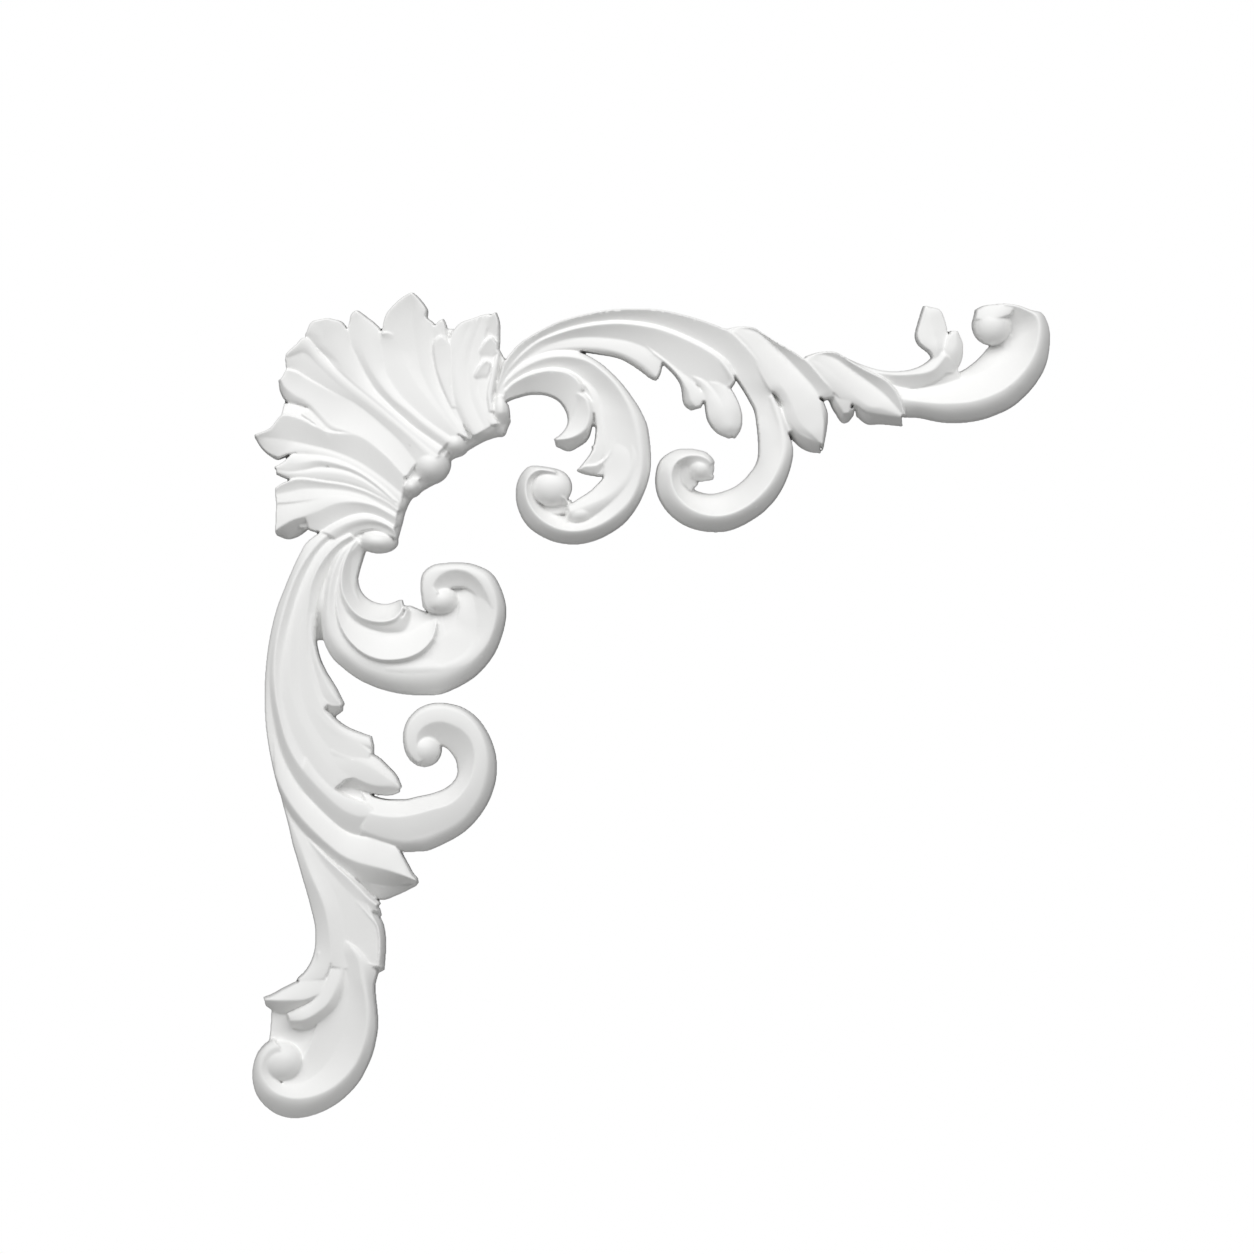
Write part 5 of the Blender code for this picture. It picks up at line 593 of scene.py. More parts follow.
def top_inner(board):
    """The top arm's small scroll beside the shell, with its curls."""
    # beds under the meetings of ridges and leaves
    board.band(
        ([(494, 384), (496, 391), (498, 398)], (12, 12, 12)),
        ([(506, 380), (505, 389), (505, 398)], (12, 12, 12)),
        swell=0)
    board.band(
        ([(574, 380), (580, 390), (586, 404)], (11.4, 11.4, 11.4)),
        ([(588, 378), (592, 388), (598, 402)], (11.4, 11.4, 11.4)),
        swell=0)
    board.band(
        ([(592, 446), (594, 460), (596, 476)], (11.6, 11.4, 10.6)),
        ([(612, 446), (612, 460), (610, 476)], (12, 12, 11.4)),
        swell=0)
    board.boss((581, 513.5), 15, 9.5, 8, 13.8, -12)
    pole = (560, 484)
    outer = ([(501, 388), (508, 377), (520, 366), (535, 357.5), (550, 352), (566, 350.8),
             (580, 352.5), (591, 357.5), (601, 364), (611, 372.5), (621, 383), (631, 396),
             (641, 412), (648, 431)] + volute(pole, -10, [91.5, 82.3, 75.3, 68.3, 63.3, 58.7, 55,
             52.3, 48.4, 44.8, 41, 35, 22, 16], step=20))
    crest = ([(502, 390), (510, 380), (523, 370), (537, 362.5), (551, 358.5), (566, 357.5),
             (580, 359.5), (592, 364.5), (603, 373), (613, 383), (621, 394), (628, 407), (633, 421),
             (637, 438)] + volute(pole, -10, [81, 73, 63, 55.5, 49.7, 45, 41, 38.3, 36.2, 34.5, 32,
             26, 17, 12], step=20))
    floor = ([(503, 393), (514, 386), (527, 378), (541, 373), (553, 371), (565, 372), (576, 377),
             (586, 384), (594, 392), (598, 402), (600, 412), (602, 424), (603, 436), (604, 448)] +
             volute(pole, -10, [44, 40, 36, 32, 28, 25, 23, 22, 21, 20, 18, 15, 10, 7], step=20))
    board.band(
        (outer,
         (11.2, 11.4, 11.6, 11.4, 11, 10.4, 10, 10, 10.4, 10.8, 11, 11, 11, 10.8, 10.6, 9.8, 8.6,
          7.6, 7, 7, 7, 7, 7, 7.4, 8, 9, 10, 10)),
        (crest,
         (11.6, 12.6, 13.4, 13.9, 14.2, 14.4, 14.6, 14.7, 14.8, 14.8, 14.8, 14.8, 14.8, 14.8, 14.8,
          14.8, 14.6, 14.4, 14.2, 14, 14, 14, 14, 14, 14, 14.4, 14.6, 14.4)),
        (floor,
         (11.4, 11.6, 11.6, 11.6, 11.6, 11.5, 11.4, 11.3, 11.2, 11.2, 11.4, 11.6, 11.8, 12, 12, 10,
          6, 3.4, 2, 2, 2.4, 3.4, 4.6, 6, 8, 11, 13, 13)),
        swell=(1.3, -0.5))
    # flute's left side and the leaf tip
    board.band(
        ([(572, 378), (580, 386), (584, 396), (588, 410), (592, 425)], 9),
        ([(590, 376), (600, 388), (604, 400), (604, 412), (600, 428)], 9),
        swell=0)
    board.band(
        ([(580, 376), (590, 385), (597, 396), (600, 410), (603, 430), (604, 450), (598, 468)],
         (11.6, 11.6, 11.6, 11.7, 12, 12.2, 12)),
        ([(578, 378), (586, 388), (591, 398), (594, 412), (596, 430), (592, 451), (578, 470)],
         (11.8, 12.2, 12.4, 12.2, 11.6, 12.2, 12.4)),
        swell=-0.1)
    board.band(
        ([(577, 470), (585, 466.5), (596, 465), (604, 460), (610, 453), (614, 440)],
         (12.4, 12.8, 13, 12.8, 12.6, 12.4)),
        ([(578, 471), (586, 474), (597, 475), (602, 469), (608, 461), (613, 453)],
         (11.4, 10.6, 10.4, 11, 11.6, 12)),
        swell=0.2)
    # rounded lobe over the rim
    board.band(
        ([(604, 426), (612, 452), (606, 474), (592, 490), (577, 500), (567, 507)],
         (10.6, 12.4, 12.2, 12, 11.8, 11.6)),
        ([(618, 426), (630, 452), (626, 474), (612, 493), (592, 504), (569, 512)],
         (11.4, 13.6, 14, 14, 13.8, 13)),
        ([(630, 426), (639, 455), (638, 478), (624, 499), (602, 514), (581, 522), (568, 519)],
         (12.4, 13.8, 12.8, 11.6, 11, 10.8, 10.8)),
        swell=(0.1, 0.8))
    # small curl
    board.band(
        ([(501, 394), (511, 383.5), (526, 375), (541, 371), (553, 369), (567, 371), (577, 376),
          (583, 384), (585, 391)],
         (10.5, 11, 11.6, 11.6, 11.6, 11.5, 11.5, 11.4, 11.4)),
        ([(502, 396), (512, 385), (527, 376.5), (541, 372), (552, 371), (565, 373), (574, 378),
          (580, 385), (582, 391)],
         (11.8, 13, 14.2, 14.6, 14.8, 14.8, 14.6, 14.4, 13.6)),
        ([(505, 402), (515, 398), (528, 394.5), (540, 394), (551, 396.5), (560, 402), (566, 411),
          (568, 420), (567, 428)],
         (10, 9.8, 9.8, 9.9, 10, 10.2, 10.4, 10.8, 11)),
        swell=(0.3, -0.2))
    board.band(
        ([(579, 392), (587, 396.5), (592, 405), (593, 417), (589, 430), (580, 438), (568, 441.5),
          (555, 441)],
         (12.6, 12.6, 12.4, 12, 11.6, 11.2, 11, 10.4)),
        ([(578, 394), (585, 399), (588.5, 407), (589.5, 417), (586, 428), (578, 435), (567, 439),
          (555, 440)],
         (13.8, 14.2, 14.2, 14, 13.8, 13.4, 12.8, 11.4)),
        ([(562, 404), (566, 409), (568, 415), (568, 422), (566, 428), (563, 432), (559, 436),
          (554, 439)],
         (10.3, 10.4, 10.8, 11, 11, 10.8, 10.6, 10.4)),
        swell=(0.3, -0.1))
    board.band(
        ([(592, 408), (592, 420), (588, 430), (579, 437), (568, 440), (555, 440)],
         (12.4, 12, 11.8, 11.8, 11.6, 11)),
        ([(592, 414), (591, 430), (587, 440), (578, 447), (568, 451), (556, 446)],
         (7, 5, 4, 3, 3, 5)),
        swell=1.6)
    # bed under the eye's lower edge
    board.band(
        ([(544, 499), (556, 499), (571, 500)], (7.6, 7.8, 8)),
        ([(544, 514), (556, 514), (571, 513)], (7.4, 7.6, 8)),
        swell=0)
    # eye
    board.boss((551, 487), 20.5, 18.5, 8.5, 14.7)
    board.band(
        ([(548, 499), (553, 495), (559, 495.5), (565, 498), (569, 503)], (9, 12, 13, 12.6, 9)),
        ([(549, 506), (554, 505), (560, 504.5), (565, 505), (569, 506)], (7.4, 8, 8.4, 8.4, 8)),
        swell=0.6)


def top_leaves(board):
    """The leaves along the top arm."""
    # beds under the meetings of leaves and scroll
    board.band(
        ([(722, 328.5), (730, 329), (740, 328)], (15, 15, 15)),
        ([(724, 335), (732, 340), (742, 344)], (15.2, 15.2, 15)),
        swell=0)
    board.band(
        ([(766, 386), (772, 400), (782, 411)], (9, 7.6, 9.4)),
        ([(778, 384), (784, 396), (790, 408)], (9.6, 8.6, 9.6)),
        swell=0)
    board.band(
        ([(779, 410), (784, 420), (787, 434)], (11, 11.5, 11.2)),
        ([(785, 404), (790, 416), (794, 430)], (10.8, 11.6, 10.8)),
        swell=0)
    board.band(
        ([(688, 376), (691, 386), (693, 396)], (10.4, 10.2, 10)),
        ([(702, 376), (703, 386), (704, 396)], (10.4, 10.2, 10)),
        swell=0)
    # leaf B: raised right edge, fold, broad surface
    fold = [(742, 329), (757, 333), (771, 342), (783, 354), (794, 366), (804, 377), (812, 386),
            (819, 397), (822, 412), (824, 430), (823, 447)]
    board.band(
        ([(726, 329.5), (738, 327), (752, 327.5), (762, 333), (775, 341.5), (790, 350), (802, 358),
          (813, 369), (822, 380), (831, 390), (833, 397)],
         (15.4, 15.4, 15.6, 16, 16, 16, 16, 15.8, 15.4, 14.4, 13)),
        (fold[:8] + [(821, 398), (823, 399), (825, 400)],
         (14.8, 14, 13, 12.6, 12.4, 12.3, 12.2, 12.2, 12, 12, 11.8)),
        swell=-0.1)
    board.band(
        (fold, (14.8, 14, 13, 12.6, 12.4, 12.3, 12.2, 12.2, 12.2, 12, 11)),
        ([(735, 331), (747, 340), (757, 352), (767, 366), (776, 380), (785, 392), (790, 402),
          (795, 413), (801, 424), (811, 434), (820, 443)],
         (15.2, 15, 14.8, 14.6, 14.4, 14.2, 14, 13.8, 13.4, 12.9, 11.6)),
        ([(732, 333), (741, 342), (750, 355), (757, 368), (763, 380), (769, 390), (777, 396),
          (783, 406), (787, 420), (797, 432), (819, 444)],
         (15.3, 15, 14.8, 14.6, 14.4, 14, 12.6, 12, 12.2, 11.8, 10.6)),
        swell=(0.2, 0.2))
    board.band(
        ([(783, 404), (787, 419), (796, 431), (808, 438), (820, 443)], (12.4, 12.2, 12, 11.8, 11)),
        ([(784, 414), (787, 428), (796, 443), (808, 451), (821, 453)], (9, 5, 3, 3, 4)),
        swell=1.0)
    board.band(
        ([(820, 400), (823, 412), (824, 428), (822, 445)], (12, 11.8, 11.8, 11)),
        ([(824, 402), (828, 414), (827, 430), (823, 451)], (8, 6, 4, 4)),
        swell=1.0)
    # bed under the pit and the roots
    board.band(
        ([(728, 332), (745, 350), (762, 384), (768, 400), (782, 428)], (14, 12, 8, 7, 8)),
        ([(745, 331), (775, 355), (798, 385), (806, 405), (812, 425)], (13, 11, 8, 7, 8)),
        swell=0)
    board.band(
        ([(806, 358.5), (815, 372), (826, 395), (835, 408)], (10, 7, 5, 5)),
        ([(820, 355), (838, 366), (856, 392), (862, 410)], (10, 7, 5, 5)),
        swell=0)
    board.band(
        ([(803, 359), (810, 356), (818, 354)], (15, 15, 14.6)),
        ([(805, 363), (812, 365), (821, 361)], (14.6, 14.8, 14.4)),
        swell=0)
    # leaf D
    fold = [(818, 353), (832, 358), (846, 366), (859, 375), (871, 384), (882, 393), (892, 403),
            (903, 416)]
    board.band(
        ([(806, 356.5), (820, 352.5), (836, 352.5), (850, 362), (866, 371), (884, 380), (896, 392),
          (906, 417)],
         (15.6, 15.6, 15.6, 15.6, 15.6, 15.4, 14.8, 12.6)),
        (fold, (15, 13.8, 12.9, 12.4, 12.2, 12.1, 12, 11.6)),
        swell=-0.1)
    board.band(
        (fold, (15, 13.8, 12.9, 12.4, 12.2, 12.1, 12, 11.6)),
        ([(808, 359), (822, 366), (835, 376), (847, 388), (859, 400), (870, 407), (883, 409),
          (902, 417)],
         (15.4, 15, 14.4, 13.8, 13.4, 13.2, 12.8, 11.6)),
        ([(806, 362), (816, 373), (826, 385), (839, 398), (855, 406), (867, 413), (882, 416),
          (902, 419)],
         (15.2, 15, 14.6, 13.2, 12.2, 11.6, 11.2, 10.6)),
        swell=(0.2, 0.3))
    board.band(
        ([(820, 376), (832, 384), (843, 393), (851, 402), (849, 414)],
         (13.6, 13.4, 13.2, 12.8, 11.4)),
        ([(814, 370), (823, 380), (831, 391), (837, 403), (844, 414)], (13.4, 13, 12.8, 12.4, 11.4)),
        ([(812, 370), (820, 382), (827, 394), (834, 410), (843, 421)], (12, 10, 8, 6, 4)),
        swell=(0.2, 0.8))
    board.band(
        ([(836, 403), (842, 410), (848, 412), (855, 405)], (11.8, 11.4, 11.2, 11)),
        ([(836, 413), (842, 422), (848, 422), (854, 415)], (5, 4, 4, 5)),
        swell=0.8)
    board.band(
        ([(856, 405), (867, 412), (880, 414), (902, 418)], (11.4, 11.2, 11.2, 10.8)),
        ([(857, 416), (868, 424), (882, 424), (903, 426)], (5, 4, 4, 4)),
        swell=0.8)
    # stem E, leaf F
    board.band(
        ([(836, 353), (860, 364), (885, 371), (910, 370), (928, 362), (938, 350)],
         (13.6, 12.8, 12, 11.4, 11.4, 11)),
        ([(838, 356), (860, 369), (886, 375), (912, 375), (932, 371), (946, 356)],
         (13.8, 13.6, 13.4, 13.4, 13.4, 13)),
        ([(842, 360), (864, 377), (890, 386), (915, 388), (937, 381), (955, 364)],
         (12, 11, 10.4, 10.2, 10.2, 10.2)),
        swell=(0.3, 0))
    board.band(
        ([(936, 372), (931, 355), (919, 344), (916, 335), (919, 322), (924, 306)],
         (11, 12.4, 12.2, 11.8, 11.6, 11.8)),
        ([(942, 372), (938, 352), (934, 338), (931, 326), (929, 314), (927, 306)],
         (10, 12.8, 12.8, 12.6, 12.4, 11.8)),
        ([(953, 370), (949, 352), (948, 334), (945, 320), (940, 310), (930, 307)],
         (8, 10.8, 10.8, 11, 11.4, 11.4)),
        swell=(0.3, -0.1))
    board.band(
        ([(946, 374), (944, 355), (947, 340), (951, 331)], (10, 12.2, 12.2, 11.6)),
        ([(952, 373), (952, 355), (954, 342), (955, 331)], (9, 12, 12, 11.6)),
        ([(956, 371), (962, 360), (963.5, 345), (958, 331)], (6, 8, 9, 10)),
        swell=(0.1, 0.7))
    board.band(
        ([(926, 374), (944, 370), (958, 366)], (9.6, 9.4, 8)),
        ([(922, 388), (940, 386), (960, 380)], (9.4, 8.6, 7.2)),
        swell=0)
    board.band(
        ([(883, 383), (900, 386), (920, 388), (938, 384)], (10.2, 9.8, 9.4, 8.6)),
        ([(880, 395), (898, 398), (920, 400), (942, 401)], (10, 10, 10, 10)),
        swell=0)


def top_tail(board):
    """The far curl of the top arm."""
    outer = [(893, 412), (907, 416.5), (920, 417.5), (940, 421.5), (955, 422.5), (970, 421.5),
             (985, 418.5), (1000, 413), (1012, 407), (1022, 399), (1031, 390), (1038, 381),
             (1044, 371), (1048, 360), (1050, 348), (1050.5, 335), (1048, 323), (1042, 313),
             (1031, 310), (1018, 305.5), (1004, 303.5)]
    crest = [(892, 396), (905, 400), (920, 402), (938, 403.5), (953, 403.5), (967, 402.5),
             (982, 399), (996, 393.5), (1007, 387), (1016, 379.5), (1024, 370.5), (1030, 361),
             (1034.5, 351), (1037, 341), (1038, 333), (1038, 326), (1036.5, 320), (1033, 315),
             (1026, 311), (1016, 307), (1004, 305)]
    inner = [(886, 384), (902, 388), (918, 391), (934, 389.5), (948, 386), (960, 382), (972, 377),
             (983, 371), (992, 365), (999, 359), (1004, 353), (1008, 347), (1011, 341),
             (1012.5, 336), (1013, 331), (1012, 327), (1010, 323), (1007, 319), (1004, 316),
             (1001, 314), (998, 312)]
    board.band(
        (outer, (7, 7, 7, 7, 7, 7, 7, 7, 7, 7, 7, 7, 7.2, 7.6, 8, 8.6, 9.2, 9.8, 10.4, 11.2, 12)),
        (crest,
         (12.4, 12.8, 13.2, 13.6, 13.8, 14, 14, 14, 14, 14, 14, 14, 14, 14, 14, 14, 14, 14, 13.8,
          13.6, 13.4)),
        (inner,
         (11, 10.4, 10, 9.6, 9, 8.4, 8, 7.6, 7.4, 7.2, 7, 7, 7, 7.4, 8, 8.6, 9.4, 10, 10.6, 11.4,
          12)),
        swell=(1.5, -0.4))
    board.band(
        (inner[2:14], (10, 9.6, 9, 8.4, 8, 7.6, 7.4, 7.2, 7, 7, 7, 7.4)),
        ([(915, 386), (930, 384), (944, 379), (956, 374), (967, 368), (976, 361), (983, 354),
          (988, 348), (993, 344), (998, 341), (1003, 338), (1008, 335)],
         (9.6, 8, 6, 4, 3, 2, 2, 2, 3, 5, 6, 7)),
        swell=0.2)
    board.band(
        ([(998, 311), (1008, 319), (1014, 330), (1012, 344)], (11.6, 9.6, 8, 7)),
        ([(988, 316), (996, 326), (1000, 336), (1000, 348)], (11.6, 9.6, 6, 4)),
        swell=0)
    board.band(
        ([(976, 310), (984, 306), (994, 304.6), (1004, 304), (1014, 306)],
         (11, 11.8, 12.4, 12.8, 13)),
        ([(974.5, 320), (982, 320), (992, 319), (1002, 318), (1010, 316)],
         (11.6, 12.8, 13.6, 13.4, 12.6)),
        swell=0.2)
    board.boss((992, 325), 19, 19.5, 7, 14)


def left_main(board):
    """The left arm's ridged stem and its three side lobes."""
    edge = [(322, 531), (307, 542), (299, 555), (291, 572), (284, 589), (277, 607), (271.5, 628),
            (267.5, 650), (265, 675), (264.5, 700), (265.5, 725), (269, 750), (274, 774),
            (279, 792)]
    foot = [(329, 530), (315, 542), (304, 557), (295, 574), (287.5, 592), (281, 611), (276, 632),
            (272.5, 653), (270.5, 677), (271, 700), (274, 722), (279, 745), (286, 765), (298, 786),
            (311, 801), (321, 812), (334, 824), (346, 832), (357, 836), (368, 834), (378, 823)]
    ridge_a = [(335, 530), (320, 543), (308, 558), (298, 575), (290, 595), (284, 615), (279, 635),
               (276, 655), (275.5, 678), (277, 698), (281, 718), (286, 737), (294, 755), (304, 770),
               (316, 784), (329, 797), (342, 808), (354, 814), (364, 816), (373, 812), (377, 810)]
    valley = [(345, 530), (330, 540), (318, 552), (308, 570), (300, 590), (293, 612), (286, 640),
              (282, 665), (282, 690), (285, 709), (291, 728), (299, 746), (309, 762), (321, 777),
              (334, 790)]
    ridge_c = [(347, 532), (333, 541), (321, 553), (311, 570), (303, 588), (297, 608), (291.5, 640),
               (290, 668), (291.5, 690), (296, 707), (302, 723), (310, 739), (320, 754), (332, 768),
               (345, 780)]
    dip = [(350, 534), (337, 542), (325, 554), (315, 570), (308, 586), (303, 606), (299, 640),
           (299, 670), (302, 692), (307, 710), (315, 727), (325, 742), (336, 755), (348, 766),
           (360, 775)]
    ridge_b = [(352, 536), (340, 543), (328, 555), (318, 570), (312, 585), (309, 603), (307, 625),
               (307, 650), (311, 672), (316, 692), (324, 710), (336, 724), (349, 736), (362, 745),
               (372, 752)]
    side = [(357, 540), (345, 549), (333, 561), (325, 576), (320, 592), (317.5, 607), (316, 622),
            (315.5, 640), (318, 655), (321, 672), (325, 690), (329, 702)]
    board.band(
        (edge, (11, 11, 11, 11, 11, 11, 11, 11, 11, 11, 11, 11, 11, 11)),
        (foot[:14], (12, 12.4, 12.7, 12.9, 13, 13, 13, 12.8, 12.4, 11.8, 11.4, 11.2, 11.2, 11.2)),
        swell=0.3)
    board.band(
        (foot,
         (12, 12.4, 12.7, 12.9, 13, 13, 13, 12.8, 12.4, 11.6, 11, 10.7, 10.5, 10.3, 10.1, 10, 9.8,
          9.6, 9.4, 9, 9)),
        (ridge_a,
         (12.6, 13, 13.4, 13.6, 13.8, 13.9, 13.9, 13.9, 13.9, 14, 14.2, 14.3, 14.3, 14.2, 14.1, 14,
          13.8, 13.6, 13.2, 12.8, 12)),
        swell=0.3)
    board.band(
        (ridge_a[:16],
         (12.6, 13, 13.4, 13.6, 13.8, 13.9, 13.9, 13.9, 13.9, 14, 14.2, 14.3, 14.3, 14.2, 14.1, 14)),
        (valley,
         (11.2, 11.4, 11.6, 11.7, 11.9, 12.2, 12.6, 12.9, 13.1, 13.2, 13.3, 13.3, 13.3, 13.3, 13.3)),
        (ridge_c,
         (12, 12.2, 12.3, 12.4, 12.5, 12.8, 13.3, 13.6, 13.7, 13.7, 13.7, 13.6, 13.5, 13.4, 13.2)),
        (dip, (12.9, 13, 13, 13, 13, 12.9, 12.8, 12.8, 12.9, 13, 13, 13, 13, 13, 12.9)),
        (ridge_b,
         (13.6, 13.7, 13.8, 13.8, 13.8, 13.6, 13.4, 13.2, 13.1, 13.1, 13.1, 13, 12.9, 12.7, 12.2)),
        swell=(-0.1, 0.1, 0.0, 0.1))
    board.band(
        (ridge_b[:11], (13.6, 13.7, 13.8, 13.8, 13.8, 13.6, 13.4, 13.2, 13.1, 13.1, 13)),
        (side, (11, 11, 11.1, 11.3, 11.5, 11.8, 12, 12, 12, 12, 12, 12)),
        swell=-0.1)
    # lobe 1
    board.band(
        ([(305, 600), (308, 630), (312, 655), (318, 675), (323, 692), (331, 705)],
         (12.8, 12.8, 12.7, 12.6, 12.4, 12.2)),
        ([(311, 612), (313, 640), (319, 665), (328, 685), (336, 698), (342, 706)],
         (12.8, 13.1, 13.1, 12.9, 12.7, 12)),
        ([(316, 620), (315.5, 640), (319, 657), (325, 671), (336, 689), (343.5, 704)],
         (11.4, 10.6, 10.6, 10.6, 10.6, 10.4)),
        swell=(0.1, 0.4))
    board.band(
        ([(318, 688), (324, 699), (332, 705), (342, 706)], (12.6, 12.5, 12.4, 12)),
        ([(320, 703), (325, 711), (332, 717), (342, 711)], (7, 5, 5, 6)),
        swell=0.6)
    # lobe 2
    board.band(
        ([(310, 690), (322, 706), (334, 718), (346, 727), (360, 733), (371, 737)],
         (12.6, 12.2, 11.8, 11.6, 11.4, 11.2)),
        ([(312, 700), (323, 716), (336, 728), (349, 737), (362, 743), (373, 746)],
         (13, 13.1, 13.1, 12.9, 12.6, 12)),
        ([(318, 720), (330, 733), (343, 744), (355, 751), (365, 755), (373, 757)],
         (13, 12.9, 12.7, 12.4, 11, 9)),
        swell=(0.3, 0.2))
    # lobe 3
    board.band(
        ([(330, 746), (350, 751), (364, 753), (376, 756.5), (387, 766), (396, 776), (401, 787)],
         (12.8, 12.2, 11.8, 11.2, 11, 11, 10.8)),
        ([(332, 755), (350, 760), (363, 764), (374, 769), (384, 776), (393, 782), (400, 788)],
         (13, 13.2, 13.2, 13.1, 12.9, 12.5, 11.4)),
        ([(328, 766), (343, 773), (356, 778), (367, 783), (379, 785.5), (390, 786), (399, 789)],
         (13.2, 13.1, 13, 12.8, 12.6, 12.4, 11)),
        swell=(0.3, 0.1))
    board.band(
        ([(322, 762), (335, 770), (347, 774), (358, 778), (368, 783), (379, 785.5), (390, 786),
          (399, 789)],
         (13.3, 13.2, 13.1, 13, 12.8, 12.6, 12.4, 11)),
        ([(322, 767), (333, 779), (343, 786), (354, 789), (366, 792.5), (380, 795), (391, 795),
          (399, 792)],
         (13, 11, 8.6, 8, 8, 8, 8, 8.6)),
        swell=0.5)
    # lobe I
    board.band(
        ([(306, 756), (318, 773), (334, 788), (350, 797), (366, 803), (377, 810)],
         (13.4, 13.3, 13.2, 13, 12.6, 12)),
        ([(304, 770), (316, 784), (329, 797), (342, 808), (354, 814), (364, 816), (373, 812),
          (377, 810)],
         (14.2, 14.1, 14, 13.8, 13.6, 13.2, 12.8, 12)),
        swell=0.2)
    # bed between the arm and the inner scroll
    board.band(
        ([(348, 532), (330, 556), (318, 580), (313, 605), (312, 622), (312, 640)],
         (11, 10.6, 10.6, 10.6, 8, 4)),
        ([(366, 538), (352, 560), (338, 580), (330, 605), (328, 622), (328, 640)],
         (11, 10.6, 10.6, 10.6, 8, 4)),
        swell=0)
    # bed under the lobes
    board.band(
        ([(300, 700), (318, 745), (335, 790), (360, 820)], 9),
        ([(320, 712), (345, 745), (365, 785), (385, 815)], 8.4),
        swell=0)


def left_second(board):
    """The left arm's lower scroll."""
    pole = (432, 748)
    outer = ([(360, 838), (382, 846), (402, 851.5), (417, 851.5)] + volute(pole, 90, [101, 90, 80.3,
             72, 64.6, 58.3, 54, 50.5, 46.6, 44, 41, 37.2, 33, 29.2, 27, 25, 23.2], way=-1,
             step=20))
    rim = ([(362, 826), (382, 835), (402, 838), (417, 836)] + volute(pole, 90, [84, 76.5, 68, 60.5,
           55.5, 51.5, 48.5, 45.5, 42, 39, 36, 32.5, 28.5, 25, 22.5, 20.5, 19], way=-1, step=20))
    arc = ([(370, 813), (386, 816), (403, 816), (418, 813)] + volute(pole, 90, [61, 58, 52.5, 47.5,
           43.8, 40.3, 35.8, 31.2, 28.4, 25.5, 23, 20.5, 17.5, 15, 13, 12, 11], way=-1, step=20))
    floor = ([(362, 792), (382, 799), (403, 800), (418, 797)] + volute(pole, 90, [46, 43, 38, 28,
             18, 11, 7, 6, 6, 6, 6, 6, 6, 5, 4, 4, 4], way=-1, step=20))
    board.band(
        (outer, (8, 7, 7, 7, 7, 7, 7, 7.4, 8.4, 9.4, 10, 10.6, 11, 11, 11, 11, 10.6, 10, 9, 8, 7)),
        (rim,
         (12.2, 12.3, 12.4, 12.4, 12.5, 12.7, 13, 13.3, 13.6, 13.8, 13.9, 14, 14, 14, 14, 14, 14,
          14, 13.8, 13.4, 13)),
        (arc,
         (13.2, 13.7, 13.8, 13.9, 14, 14.1, 14.2, 14.2, 14.2, 14.3, 14.4, 14.5, 14.5, 14.5, 14.5,
          14.5, 14.4, 14.2, 14, 13.8, 13.6)),
        (floor,
         (10, 9, 8, 7.6, 7.4, 7.6, 8, 8.4, 8.8, 9, 9.4, 9.8, 10, 10, 10.4, 11, 12, 12, 12, 12, 12)),
        swell=(1.3, 0.2, -0.3))
    board.boss((424, 749.5), 17, 17.3, 7, 14.6)


